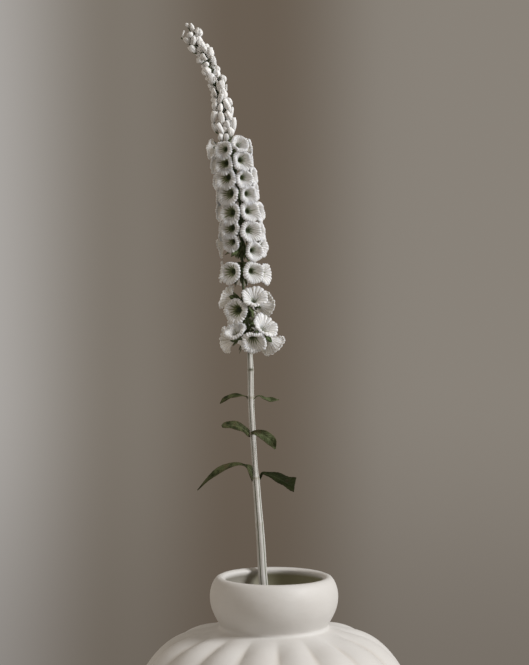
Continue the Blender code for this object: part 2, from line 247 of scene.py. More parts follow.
# ---- materials -----------------------------------------------------------
class Look:
    """A node material built step by step."""

    def __init__(self, name, roughness):
        self.material = bpy.data.materials.new(name)
        self.material.use_nodes = True
        self.tree = self.material.node_tree
        self.shader = self.tree.nodes["Principled BSDF"]
        self.shader.inputs["Roughness"].default_value = roughness
        self.shader.inputs["Metallic"].default_value = 0.0
        self.place = self.tree.nodes.new("ShaderNodeTexCoord").outputs["Object"]

    def node(self, kind, **inputs):
        node = self.tree.nodes.new(kind)
        for key, value in inputs.items():
            self.set(node, key.replace("_", " "), value)
        return node

    def set(self, node, key, value):
        socket = node.inputs[key]
        if isinstance(value, bpy.types.NodeSocket):
            self.tree.links.new(value, socket)
        else:
            socket.default_value = value

    def field(self, name):
        node = self.tree.nodes.new("ShaderNodeAttribute")
        node.attribute_name = name
        return node.outputs["Fac"]

    def noise(self, size, detail=3.0, rough=0.55, stretch=(1, 1, 1)):
        """Noise with features about `size` metres across."""
        scaled = self.tree.nodes.new("ShaderNodeMapping")
        scaled.inputs["Scale"].default_value = stretch
        self.tree.links.new(self.place, scaled.inputs["Vector"])
        node = self.node("ShaderNodeTexNoise", Scale=1.0 / size, Detail=detail, Roughness=rough)
        self.tree.links.new(scaled.outputs["Vector"], node.inputs["Vector"])
        return node.outputs["Fac"]

    def math(self, operation, a, b=0.0, clamp=False):
        node = self.tree.nodes.new("ShaderNodeMath")
        node.operation = operation
        node.use_clamp = clamp
        for i, value in enumerate((a, b)):
            if isinstance(value, bpy.types.NodeSocket):
                self.tree.links.new(value, node.inputs[i])
            else:
                node.inputs[i].default_value = value
        return node.outputs[0]

    def span(self, value, low, high, to_low=0.0, to_high=1.0):
        node = self.tree.nodes.new("ShaderNodeMapRange")
        node.interpolation_type = "SMOOTHSTEP"
        self.tree.links.new(value, node.inputs["Value"])
        for key, number in (("From Min", low), ("From Max", high), ("To Min", to_low), ("To Max", to_high)):
            node.inputs[key].default_value = number
        return node.outputs["Result"]

    def mix(self, factor, a, b, blend="MIX"):
        node = self.tree.nodes.new("ShaderNodeMix")
        node.data_type = "RGBA"
        node.blend_type = blend
        ins = {"Factor": node.inputs[0], "A": node.inputs[6], "B": node.inputs[7]}
        for key, value in (("Factor", factor), ("A", a), ("B", b)):
            if isinstance(value, bpy.types.NodeSocket):
                self.tree.links.new(value, ins[key])
            elif key == "Factor":
                ins[key].default_value = value
            else:
                ins[key].default_value = (*value, 1.0)
        return node.outputs[2]

    def colour(self, socket):
        self.tree.links.new(socket, self.shader.inputs["Base Color"])

    def roughness(self, socket):
        self.tree.links.new(socket, self.shader.inputs["Roughness"])

    def thin(self, weight, scale):
        """Light soaks through, as in a dry petal."""
        self.shader.inputs["Subsurface Weight"].default_value = weight
        self.shader.inputs["Subsurface Radius"].default_value = (1.0, 0.96, 0.88)
        self.shader.inputs["Subsurface Scale"].default_value = scale

    def bump(self, height, distance, strength=1.0):
        node = self.node("ShaderNodeBump", Strength=strength, Distance=distance)
        self.tree.links.new(height, node.inputs["Height"])
        self.tree.links.new(node.outputs["Normal"], self.shader.inputs["Normal"])


def ceramic_look():
    look = Look("matte_ceramic", 0.55)
    cloud = look.noise(0.055, 3.0, 0.5)
    grain = look.noise(0.0011, 2.0, 0.6)
    colour = look.mix(look.span(cloud, 0.35, 0.65), (0.655, 0.640, 0.618), (0.625, 0.606, 0.580))
    # Fine dark and light grains in the body of the clay.
    colour = look.mix(look.span(grain, 0.66, 0.74, 0.0, 0.35), colour, (0.47, 0.43, 0.38))
    colour = look.mix(look.span(grain, 0.34, 0.27, 0.0, 0.30), colour, (0.72, 0.70, 0.67))
    # The lobes' valleys are painted darker as painted shade; the bare foot shows the clay.
    colour = look.mix(look.span(look.field("valley"), 0.15, 1.0, 0.0, 0.45), colour, (0.545, 0.505, 0.452))
    colour = look.mix(look.field("bare"), colour, (0.50, 0.42, 0.33))
    # Painted shade: inside the neck the clay is painted darker, and olive on one side.
    inner_shade = look.mix(look.field("stain"), (0.415, 0.390, 0.345), (0.400, 0.380, 0.245))
    colour = look.mix(look.field("inner"), colour, look.mix(look.span(cloud, 0.3, 0.7, 0.0, 0.25), inner_shade, (0.27, 0.255, 0.19)))
    look.colour(colour)
    rough = look.math("ADD", look.span(cloud, 0.3, 0.7, 0.50, 0.60), look.math("MULTIPLY", look.field("bare"), 0.3))
    look.roughness(rough)
    ripple_bump = look.noise(0.012, 2.0, 0.4, (1, 1, 2.2))
    height = look.math("ADD", look.math("MULTIPLY", grain, 0.35), look.math("MULTIPLY", ripple_bump, 1.0))
    look.bump(height, 0.00022, 0.8)
    return look.material


def petal_look():
    look = Look("ribbed_petal", 0.62)
    fold, green, dark, rim = (look.field(n) for n in ("fold", "green", "dark", "rim"))
    fleck = look.noise(0.0016, 3.0, 0.6)
    white = look.mix(look.span(look.noise(0.006, 2.0), 0.35, 0.65), (0.82, 0.808, 0.79), (0.775, 0.76, 0.735))
    white = look.mix(look.span(rim, 0.55, 0.80, 0.0, 0.6), white, (0.85, 0.85, 0.845))
    white = look.mix(look.span(fleck, 0.58, 0.72, 0.0, 0.35), white, (0.60, 0.57, 0.51))
    # Painted shade: the pleats' valleys are painted greyer than their ridges, more towards the lip.
    shade = look.math("MULTIPLY", look.span(fold, 0.60, 0.12, 0.0, 1.0), look.span(rim, 0.2, 0.6, 0.55, 0.85))
    petal = look.mix(shade, white, (0.40, 0.375, 0.325))
    streak = look.mix(look.span(fleck, 0.4, 0.6), (0.190, 0.235, 0.100), (0.095, 0.135, 0.042))
    petal = look.mix(green, petal, streak)
    petal = look.mix(dark, petal, look.mix(look.span(fleck, 0.4, 0.6), (0.040, 0.060, 0.017), (0.082, 0.112, 0.038)))
    look.colour(petal)
    look.roughness(look.span(fleck, 0.3, 0.7, 0.56, 0.70))
    look.bump(look.math("ADD", fleck, look.math("MULTIPLY", look.noise(0.0005, 2.0), 0.5)), 0.00012, 0.6)
    look.thin(1.0, 0.0060)
    return look.material


def bud_look():
    look = Look("closed_petal", 0.5)
    green, crease = look.field("green"), look.field("fold")
    fleck = look.noise(0.0018, 3.0, 0.6)
    white = look.mix(look.span(look.noise(0.007, 2.0), 0.35, 0.65), (0.87, 0.865, 0.85), (0.82, 0.812, 0.79))
    # Painted shade: darker where a petal's edge lies over the next and along the loose petals' edges.
    white = look.mix(look.span(crease, 0.5, 0.0, 0.0, 0.55), white, (0.56, 0.53, 0.46))
    white = look.mix(look.span(fleck, 0.6, 0.74, 0.0, 0.3), white, (0.60, 0.56, 0.47))
    look.colour(look.mix(green, white, (0.13, 0.16, 0.06)))
    look.roughness(look.span(fleck, 0.3, 0.7, 0.44, 0.60))
    look.bump(fleck, 0.00012, 0.5)
    look.thin(0.35, 0.0012)
    return look.material


def green_look(name, deep, fresh, brown, size, shine=0.12):
    """Dry green: veined, paler on the ribs, brownish in blotches and at the edges."""
    look = Look(name, 0.58)
    rib, edge = look.field("rib"), look.field("edge")
    blotch = look.noise(size, 4.0, 0.6)
    fine = look.noise(size * 0.14, 3.0, 0.6)
    colour = look.mix(look.span(blotch, 0.36, 0.62), deep, fresh)
    colour = look.mix(look.span(look.noise(size * 1.7, 3.0), 0.54, 0.66, 0.0, 0.75), colour, brown)
    colour = look.mix(look.math("MULTIPLY", look.span(edge, 0.80, 1.0), 0.55), colour, brown)
    colour = look.mix(look.math("MULTIPLY", look.span(rib, 0.3, 1.0), 0.6), colour,
                      tuple(min(1.0, 1.9 * c + 0.03) for c in fresh))
    colour = look.mix(look.span(fine, 0.42, 0.7, 0.0, 0.3), colour, tuple(0.5 * c for c in deep))
    look.colour(colour)
    look.roughness(look.span(fine, 0.3, 0.7, 0.66, 0.80))
    look.shader.inputs["Specular IOR Level"].default_value = shine
    look.bump(look.math("ADD", fine, look.math("MULTIPLY", rib, 0.6)), 0.00018, 0.7)
    return look.material


def stem_look():
    look = Look("dry_stem", 0.6)
    up, groove, knot, spot = (look.field(n) for n in ("green", "groove", "knot", "spot"))
    strands = look.noise(0.0022, 3.0, 0.6, (1, 1, 0.05))
    fibre = look.noise(0.0007, 2.0, 0.6, (1, 1, 0.08))
    pale = look.mix(look.span(strands, 0.38, 0.62), (0.60, 0.59, 0.565), (0.50, 0.485, 0.45))
    pale = look.mix(look.span(fibre, 0.60, 0.74, 0.0, 0.12), pale, (0.30, 0.28, 0.22))
    # Painted shade: the furrows are painted dark green.
    pale = look.mix(look.math("MULTIPLY", look.span(groove, 0.25, 0.85), 0.95), pale, (0.058, 0.075, 0.030))
    leafy = look.mix(look.span(strands, 0.42, 0.60), (0.034, 0.050, 0.015), (0.100, 0.130, 0.055))
    leafy = look.mix(look.span(fibre, 0.58, 0.7, 0.0, 0.4), leafy, (0.15, 0.17, 0.085))
    colour = look.mix(up, pale, leafy)
    colour = look.mix(look.math("MULTIPLY", knot, 0.65), colour, (0.20, 0.17, 0.095))
    colour = look.mix(spot, colour, (0.045, 0.05, 0.02))
    look.colour(colour)
    look.bump(look.math("ADD", strands, look.math("MULTIPLY", fibre, 0.6)), 0.00025, 0.7)
    return look.material


CERAMIC = ceramic_look()
PETAL = petal_look()
BUD = bud_look()
STEM_SKIN = stem_look()
LEAF = green_look("leaf_skin", (0.016, 0.021, 0.006), (0.072, 0.080, 0.034), (0.078, 0.060, 0.030), 0.008)
LEAF_DARK = green_look("leaf_skin_dark", (0.009, 0.012, 0.003), (0.017, 0.021, 0.006), (0.022, 0.018, 0.008), 0.010, 0.06)
LEAF_FRESH = green_look("leaf_skin_fresh", (0.045, 0.056, 0.022), (0.115, 0.138, 0.068), (0.075, 0.060, 0.030), 0.007)
SEPAL = green_look("sepal_skin", (0.030, 0.046, 0.014), (0.130, 0.168, 0.076), (0.095, 0.078, 0.038), 0.004, 0.2)

# ---- vase ----------------------------------------------------------------
AROUND = 320  # 20 to a lobe
LOBES = 16
VALLEY_AZIMUTH = 2.3
LOBE_DEPTH = 5.8
OUTSIDE = [(59.8, 322.5), (63.2, 321.1), (66.0, 317.5), (68.5, 312.1), (70.1, 305.5), (70.4, 298.9),
           (69.7, 292.3), (67.8, 285.7), (64.8, 279.1), (61.2, 272.7), (59.0, 269.2), (58.6, 267.4),
           (60.8, 266.2), (67.0, 264.9), (76.0, 262.9), (94.0, 259.0), (108.6, 253.2), (118.9, 246.7),
           (127.6, 239.1), (135.6, 230.3), (142.9, 220.3), (149.3, 209.1), (154.9, 195.8), (159.1, 181.0),
           (161.6, 165.5), (162.4, 150.0), (161.3, 130.0), (157.6, 108.0), (151.2, 85.0), (142.0, 63.5),
           (129.8, 43.5), (115.5, 26.5), (100.0, 13.2), (91.0, 6.2), (86.2, 2.6), (83.6, 0.9), (81.6, 0.0)]
FOOT = [(81.6, 0.0), (76.0, 0.0), (72.0, 0.0), (70.4, 0.8), (69.6, 2.1), (66.0, 2.4), (40.0, 2.6), (12.0, 2.7), (0.4, 2.7)]
INSIDE = [(0.4, 10.0), (30.0, 10.0), (62.0, 10.4), (84.0, 15.4), (104.0, 26.5), (121.0, 42.0), (135.0, 62.0),
          (145.6, 86.0), (151.8, 112.0), (153.8, 140.0), (152.6, 165.0), (147.6, 188.0), (137.6, 209.0),
          (122.6, 227.5), (104.0, 241.0), (82.0, 250.5), (64.0, 256.2), (54.4, 261.0), (51.7, 267.5),
          (53.2, 275.0), (57.6, 282.5), (61.2, 290.5), (62.4, 298.5), (61.4, 306.5), (58.4, 313.2),
          (55.0, 316.6), (53.6, 318.9), (54.4, 320.9), (56.7, 322.2), (59.8, 322.5)]


def make_vase():
    inside = by_length(smooth_curve(INSIDE, 8), np.linspace(0, 1, 66))
    outside = by_length(smooth_curve(OUTSIDE, 8), np.linspace(0, 1, 108))
    foot = by_length(smooth_curve(FOOT, 4), np.linspace(0, 1, 15))
    profile = np.concatenate([inside, outside[1:], foot[1:]])
    outer = np.concatenate([np.zeros(len(inside)), np.ones(len(outside) - 1), np.zeros(len(foot) - 1)])
    azimuth = np.arange(AROUND) / AROUND * 2 * np.pi
    turn = azimuth - math.radians(VALLEY_AZIMUTH)
    # Rounded lobes that meet in narrow valleys.
    crest = np.sqrt(np.sin(LOBES / 2 * turn)**2 + 0.006)
    valley = np.clip(1 - crest, 0.0, 1.0)
    r, z = profile[:, :1], profile[:, 1:2]
    size = step(266.2, 257.0, z) * step(4.0, 46.0, z) * outer[:, None]
    # The lobes' valleys are pressed in square to the surface.
    run = np.gradient(profile, axis=0)
    out_r, out_z = -run[:, 1:2], run[:, :1]
    length = np.hypot(out_r, out_z)
    inward = LOBE_DEPTH * size * valley[None, :]
    sink_r, sink_z = inward * np.abs(out_r / length), inward * out_z / length * np.sign(out_r)
    # Hand-made: the lip and the collar are a trace uneven.
    rng = np.random.default_rng(11)
    uneven = 0.18 * ripple(azimuth, rng, (2, 3, 4))[None, :] * step(240, 300, z)
    r = r - sink_r
    rows = np.stack([(r + uneven * (r > 20)) * np.sin(azimuth), -(r + uneven * (r > 20)) * np.cos(azimuth),
                     z - sink_z], axis=-1)
    bare = (np.concatenate([np.zeros(len(inside) + len(outside) - 1), np.ones(len(foot) - 1)])[:, None]
            + 0 * azimuth[None, :])
    # Inside, below the lip, the clay is painted darker: painted shade.
    inner = (np.arange(len(profile)) < len(inside))[:, None] * step(319.0, 314.0, z) + 0 * azimuth[None, :]
    # Painted shade: one side of the neck's inside is painted olive and darker.
    stain = inner * step(-0.2, 0.7, np.cos(azimuth - math.radians(120)))[None, :]
    piece = Piece()
    piece.rings(rows, 0, stain=stain, valley=size * step(0.45, 0.95, valley)[None, :], bare=bare, inner=inner)
    return piece.make("ribbed_vase", [CERAMIC], "ceramic", "vase")


make_vase()

# ---- stem ----------------------------------------------------------------
STEM = [(5.5, 16.5, 10.95, 5.0), (2.0, 23.6, 90.0, 5.0), (-3.6, 33.0, 190.0, 5.05),
        (-9.6, 41.8, 280.0, 5.1), (-12.8, 45.4, 319.5, 5.1), (-15.0, 48.6, 355.0, 4.8),
        (-18.6, 52.8, 400.0, 4.35), (-20.3, 54.6, 421.5, 4.2), (-20.9, 55.1, 430.0, 3.45), (-23.4, 57.7, 466.0, 3.25),
        (-24.2, 58.4, 478.0, 3.45), (-26.0, 60.5, 513.0, 3.55), (-26.9, 63.0, 558.0, 3.4), (-29.9, 64.9, 598.5, 1.7),
        (-33.4, 66.1, 627.0, 1.45), (-35.8, 67.4, 659.0, 1.45), (-36.1, 68.7, 698.0, 1.6),
        (-37.4, 69.5, 728.0, 1.8), (-40.0, 70.0, 749.0, 1.75), (-43.2, 70.3, 768.5, 1.7),
        (-48.0, 70.9, 799.5, 1.6), (-54.7, 71.3, 825.0, 1.5), (-58.7, 71.6, 845.7, 1.4),
        (-63.6, 71.9, 868.8, 1.3), (-72.0, 72.2, 890.6, 1.2), (-82.0, 72.4, 913.5, 1.1),
        (-95.0, 72.5, 935.5, 0.9)]
STEM_LINE = smooth_curve(STEM, 12)
KNOTS = [(423.5, 1.0), (474.5, 0.9), (515.0, 0.85), (546.5, 0.8), (372.0, 0.45)]


def stem_at(height):
    """Centre and radius of the stem at a height, in mm."""
    line = STEM_LINE
    centre = np.array([np.interp(height, line[:, 2], line[:, i]) for i in range(3)])
    return centre, float(np.interp(height, line[:, 2], line[:, 3]))


def stem_direction(height):
    return unit(stem_at(height + 2)[0] - stem_at(height - 2)[0])


def make_stem():
    heights = [np.linspace(10.95, 340, 64)[:-1], np.linspace(340, 570, 216)[:-1], np.linspace(570, 935.5, 170)]
    heights = np.concatenate(heights)
    path = np.array([stem_at(h)[0] for h in heights])
    radius = np.array([stem_at(h)[1] for h in heights])
    rng = np.random.default_rng(5)
    angle = np.arange(40) / 40 * 2 * np.pi
    h = heights[:, None]
    # Five blunt edges with a furrow between each two.
    turn = angle + math.radians(24) + 0.05 * np.cos(h * 0.021) + 0.0 * h
    ribs = 0.034 * np.cos(5 * turn + np.pi) + 0.010 * np.cos(9 * angle - 0.006 * h)
    ribs = ribs * (1 + 1.3 * step(560, 600, h))
    wander = 0.018 * np.cos(h * 0.045 + 2 * angle) + 0.012 * np.cos(h * 0.11 + 3 * angle + 1.0)
    swell = np.zeros((len(heights), 40))
    knot = np.zeros_like(swell)
    for height, size in KNOTS:
        near = (h - height) / 3.2
        swell += size * (0.16 * np.exp(-near**2) - 0.05 * np.exp(-((h - height - 1.2) / 0.7)**2))
        knot += size * np.exp(-((h - height - 0.6) / 1.5)**2)
    factor = 1 + ribs + wander + swell
    rows = tube_rings(path, radius * 0.985, 40, lambda a: factor)
    # Painted shade: the furrows are painted dark green, fainter on one side.
    groove = np.clip(np.cos(5 * turn), 0, 1)**3 * np.where(np.sin(angle + 0.5) > -0.2, 1.0, 0.45)
    green = step(556, 585, h + 5 * np.cos(3 * angle + 1))
    # A dark scar where a leaf has fallen.
    spot = np.exp(-((h - 547.5) / 1.5)**2 - ((np.cos(angle - 0.3) - 1) / 0.25)**2)
    piece = Piece()
    piece.rings(rows, 0, groove=groove, knot=np.clip(knot, 0, 1), green=green + 0 * h, spot=spot)
    return piece.make("spike_stem", [STEM_SKIN], "stem_skin", "stem")


make_stem()

# ---- leaves --------------------------------------------------------------
LEAVES = {
    "leaf_upper_left": (515.0, (0.0, -0.52, 0.86), 3, [
        (-2.6, -0.4, -1.2, 1.2), (-4.4, -0.6, 1.2, 1.1), (-8.0, -1.6, 2.6, 1.2), (-15.0, -3.2, 3.2, 3.2),
        (-23.8, -4.6, 1.4, 4.3), (-30.2, -5.6, -1.8, 3.2), (-35.0, -6.0, -6.0, 0.5)]),
    "leaf_upper_right": (515.0, (0.0, -0.42, 0.9), 4, [
        (2.6, -0.4, -1.2, 1.1), (4.6, -0.8, 0.2, 1.0), (7.6, -1.6, 2.4, 0.9), (11.0, -2.0, 2.4, 1.2),
        (16.0, -3.0, -0.6, 3.4), (21.5, -3.6, -2.0, 4.8), (27.0, -4.4, -2.2, 3.8), (32.4, -5.0, -1.8, 0.6)]),
    "leaf_middle_left": (474.5, (0.0, -0.75, 0.66), 5, [
        (-2.6, -1.2, -2.6, 1.5), (-4.0, -1.8, -0.9, 2.8), (-8.8, -5.0, 4.4, 4.6), (-17.0, -8.0, 8.8, 5.8),
        (-26.0, -10.5, 10.4, 5.5), (-31.6, -11.6, 9.9, 3.9), (-34.6, -12.0, 8.8, 1.5)]),
    "leaf_middle_right": (474.5, (-0.35, -0.75, 0.55), 6, [
        (-0.6, -3.0, 0.2, 1.4), (0.4, -4.9, 1.6, 2.0), (5.0, -8.0, 1.8, 3.8), (14.7, -14.0, -1.8, 5.8),
        (22.2, -18.0, -8.2, 5.4), (25.6, -20.0, -15.8, 0.9)]),
    "leaf_lower_left": (423.5, (0.1, -0.45, 0.9), 7, [
        (-3.0, -0.8, -2.5, 1.8), (-3.8, -1.8, 2.0, 3.1), (-5.2, -3.0, 8.4, 5.0), (-8.0, -3.2, 13.0, 4.4), (-12.8, -3.0, 15.6, 1.9),
        (-19.0, -3.4, 16.8, 3.4), (-27.0, -5.0, 15.6, 5.2), (-39.5, -7.0, 10.8, 5.0), (-53.0, -9.0, 0.9, 3.2), (-65.9, -10.0, -12.0, 0.4)]),
    "leaf_lower_right": (423.5, (-0.05, -0.62, 0.78), 8, [
        (3.2, 0.4, -2.0, 1.3), (5.2, 0.6, 1.4, 1.4), (7.6, 0.9, 6.0, 1.9), (13.0, 1.4, 4.9, 3.8),
        (21.6, 2.2, 2.0, 6.2), (32.0, 3.2, -3.2, 8.6), (39.0, 4.0, -7.0, 10.4), (44.4, 4.4, -8.6, 10.4)]),
}


def ribbon(line, hint, along, across, rng, cup=0.25, wave=0.0, teeth=0.0, tooth_count=11):
    """A grid of points for a leaf-like sheet on a line of x, y, z, half width."""
    u = np.linspace(0, 1, along)
    p = by_length(line, u)
    spine, half = p[:, :3], p[:, 3]
    tangent = unit(np.gradient(spine, axis=0))
    side = unit(np.cross(tangent, unit(np.asarray(hint, float))))
    up = np.cross(side, tangent)
    v = np.linspace(-1, 1, across)
    # Denser at the midrib and the edges.
    v = np.sign(v) * np.abs(v)**0.85
    saw = 1 + teeth * (np.abs((u * tooth_count) % 1.0 - 0.35) - 0.3) * step(0.12, 0.3, u)
    reach = half[:, None] * v[None, :] * (1 + (saw[:, None] - 1) * np.abs(v)[None, :]**4)
    lift = np.abs(v)[None, :]**1.3 * half[:, None] * cup
    lift = lift - 0.10 * half[:, None] * np.exp(-(v / 0.10)**2)[None, :]  # the midrib stands below
    bend = wave * half[:, None] * np.sin(2 * np.pi * (2.2 * u[:, None] + 0.25 * np.sign(v)[None, :])
                                         + rng.uniform(0, 6)) * np.abs(v)[None, :]**2
    # Side veins press shallow furrows between raised panels.
    veins = 0.035 * half[:, None] * np.cos(2 * np.pi * (9 * u[:, None] - 2.0 * np.abs(v)[None, :])) * (1 - np.abs(v)[None, :]**6)
    grid = spine[:, None] + side[:, None] * reach[..., None] + up[:, None] * (lift + bend + veins)[..., None]
    return grid, u, v


def make_leaf(name, knot, face_up, seed, points):
    rng = np.random.default_rng(seed)
    centre, _ = stem_at(knot)
    line = smooth_curve(points, 12)
    grid, u, v = ribbon(line, face_up, 56, 17, rng, cup=0.22, wave=0.13, teeth=0.10, tooth_count=13)
    grid = grid + centre
    rib = np.exp(-(v[None, :] / 0.13)**2) * (1 - 0.5 * u[:, None])
    vein = np.clip(np.cos(2 * np.pi * (9 * u[:, None] - 2.0 * np.abs(v)[None, :])), 0, 1)**6 * 0.55
    thick = 0.45 + 0.75 * step(0.18, 0.0, u)[:, None] + 0.30 * np.exp(-(v[None, :] / 0.16)**2)
    piece = Piece()
    piece.sheet(grid, thick, 0, rib=np.maximum(rib, vein), edge=np.abs(v)[None, :] + 0 * u[:, None])
    skin = {"leaf_middle_right": LEAF_FRESH, "leaf_upper_right": LEAF_FRESH, "leaf_lower_right": LEAF_DARK}.get(name, LEAF)
    return piece.make(name + "_blade", [skin], "leaf", name)


for name, (knot, face_up, seed, points) in LEAVES.items():
    make_leaf(name, knot, face_up, seed, points)

# ---- flowers -------------------------------------------------------------
# Radius and height along a petal wall, from the middle of the throat to the lip,
# for a rim radius and a depth of 1.
BELL = [(0.02, 0.0), (0.15, 0.005), (0.25, 0.05), (0.31, 0.20), (0.38, 0.40), (0.485, 0.60), (0.61, 0.775),
        (0.735, 0.895), (0.85, 0.945), (0.945, 0.91), (0.995, 0.82), (0.99, 0.715)]
FAN = [(0.02, 0.0), (0.10, 0.005), (0.17, 0.05), (0.215, 0.20), (0.31, 0.42), (0.45, 0.61),
       (0.62, 0.78), (0.79, 0.905), (0.92, 0.97), (1.0, 0.965), (1.03, 0.90)]
# Each flower: node, azimuth of its place, height of its rim's centre, distance of
# that centre from the stem, rim radius, azimuth and pitch it looks to, depth of
# the bell, longer lower (+) or upper (-) lip, how far the lower lip stands
# forward, and the shape.
FLOWERS = [
    ("01_front_left", -28, 796.6, 22.5, 10.8, -24, -3, 11.5, 0.16, 0.20, BELL),
    ("01_front_right", 31, 804.5, 22.0, 10.8, 26, 16, 11.5, 0.04, 0.10, BELL),
    ("01_back_left", -100, 800.8, 25.0, 11.2, -107, 0, 11.5, 0.08, 0.10, BELL),
    ("01_back_right", 104, 803.6, 22.8, 9.8, 98, 4, 11.0, 0.06, 0.12, BELL),
    ("02_front_left", -33, 780.0, 22.5, 11.2, -25, -6, 11.5, 0.20, 0.22, BELL),
    ("02_front_right", 27, 784.3, 23.0, 11.8, 22, -4, 12.0, 0.14, 0.20, BELL),
    ("02_back_left", -102, 782.4, 24.4, 9.8, -106, -4, 11.0, 0.14, 0.14, BELL),
    ("02_back_right", 106, 787.0, 21.4, 10.2, 96, -2, 11.0, 0.12, 0.14, BELL),
    ("03_front_left", -33, 764.2, 23.0, 12.6, -24, -6, 11.5, 0.16, 0.22, BELL),
    ("03_front_right", 25, 763.6, 22.5, 10.6, 27, -9, 11.0, 0.16, 0.20, BELL),
    ("03_back_left", -116, 764.5, 24.0, 11.0, -116, -5, 11.0, 0.16, 0.18, BELL),
    ("03_back_right", 97, 769.3, 20.8, 11.2, 68, -4, 11.0, 0.12, 0.14, BELL),
    ("04_front_left", -33, 746.0, 23.0, 12.8, -32, -3, 12.0, 0.14, 0.22, BELL),
    ("04_front_right", 31, 745.4, 23.0, 10.6, 28, -8, 11.5, 0.16, 0.20, BELL),
    ("04_left", -98, 746.5, 23.2, 11.2, -102, -5, 11.0, 0.14, 0.16, BELL),
    ("04_right", 97, 751.6, 20.4, 11.2, 76, -4, 11.0, 0.12, 0.14, BELL),
    ("04_back", 180, 747.0, 23.0, 11.8, 180, -4, 11.5, 0.16, 0.20, BELL),
    ("05_front_left", -34, 724.4, 23.5, 12.9, -25, -3, 12.0, 0.16, 0.22, BELL),
    ("05_front_right", 28, 727.0, 23.5, 12.0, 24, 2, 12.5, 0.13, 0.18, BELL),
    ("05_back_left", -107, 729.6, 26.0, 11.4, -104, -6, 11.5, 0.20, 0.18, BELL),
    ("05_back_right", 102, 728.4, 22.0, 11.8, 62, -2, 11.5, 0.12, 0.14, BELL),
    ("06_front_left", -35, 707.2, 24.0, 11.8, -26, -2, 12.0, 0.14, 0.22, BELL),
    ("06_front_right", 27, 704.0, 24.0, 12.8, 28, -5, 12.5, 0.12, 0.20, BELL),
    ("06_left", -97, 706.6, 24.2, 10.8, -99, -5, 11.5, 0.14, 0.18, BELL),
    ("06_right", 96, 704.8, 22.6, 11.4, 70, -4, 11.5, 0.12, 0.14, BELL),
    ("06_back", -178, 706.0, 24.0, 12.0, -178, -4, 11.5, 0.14, 0.20, BELL),
    ("07_front_left", -33, 691.0, 24.0, 10.4, -30, -10, 12.0, 0.18, 0.14, BELL),
    ("07_front_right", 37, 681.4, 24.5, 11.0, 29, -8, 12.0, 0.10, 0.16, BELL),
    ("07_back_left", -102, 686.6, 26.0, 10.8, -96, -20, 12.0, 0.30, 0.10, FAN),
    ("07_back_right", 99, 687.6, 24.2, 10.8, 64, -8, 12.0, 0.12, 0.14, FAN),
    ("08_front_left", -36, 657.0, 24.0, 12.8, -30, -3, 12.0, 0.14, 0.20, BELL),
    ("08_front_right", 34, 657.7, 24.0, 12.4, 24, -6, 12.0, 0.12, 0.20, BELL),
    ("08_left", -97, 659.2, 23.4, 12.0, -92, -5, 12.0, 0.12, 0.16, FAN),
    ("08_right", 97, 657.0, 27.0, 12.0, 64, -4, 12.5, 0.10, 0.14, FAN),
    ("08_back", 180, 657.5, 24.5, 12.8, 180, -5, 12.0, 0.14, 0.20, BELL),
    ("09_front_left", -30, 613.9, 23.5, 14.0, -27, -3, 13.0, 0.10, 0.16, BELL),
    ("09_front_right", 30, 630.9, 24.0, 14.4, 10, 36, 12.0, -0.10, 0.05, FAN),
    ("09_back_left", -94, 631.0, 20.2, 13.4, -112, 12, 14.0, 0.0, 0.26, FAN),
    ("09_back_right", 116, 622.0, 24.0, 15.6, 136, -4, 16.5, 0.02, 0.04, FAN),
    ("10_front_left", -37, 592.6, 25.0, 12.8, -28, 42, 11.0, 0.0, 0.06, BELL),
    ("10_front_right", 48, 598.0, 28.0, 15.4, 40, 34, 13.5, -0.06, 0.05, FAN),
    ("10_left", -150, 603.0, 23.0, 12.0, -152, 0, 13.5, 0.10, 0.12, FAN),
    ("10_right", 150, 600.5, 25.0, 12.2, 150, 4, 13.5, 0.08, 0.10, FAN),
    ("10_back", 176, 612.5, 26.0, 13.6, 176, 6, 13.5, 0.08, 0.12, FAN),
    ("11_front", 12, 577.4, 26.0, 14.2, 6, -35, 14.5, 0.14, 0.0, BELL),
    ("11_left", -87, 581.0, 25.8, 14.8, -112, -4, 15.0, 0.03, 0.0, FAN),
    ("11_right", 98, 575.4, 27.6, 14.8, 130, -44, 18.0, 0.0, 0.0, FAN),
    ("11_back_left", -154, 589.0, 23.0, 12.2, -152, -6, 13.5, 0.08, 0.06, FAN),
    ("11_back_right", 144, 585.0, 24.5, 12.2, 142, -8, 13.5, 0.06, 0.04, FAN),
]
# Green throats with a dark centre; on the shaded flowers on the left they are painted wider, as painted shade.
WIDE_THROAT = {"front_left": 1.75, "front": 1.3, "front_right": 1.1}
SMALL_THROAT = {"09_front_right": 0.62, "10_front_right": 0.55, "10_front_left": 0.8, "01_front_right": 0.8,
                "01_front_left": 1.2}


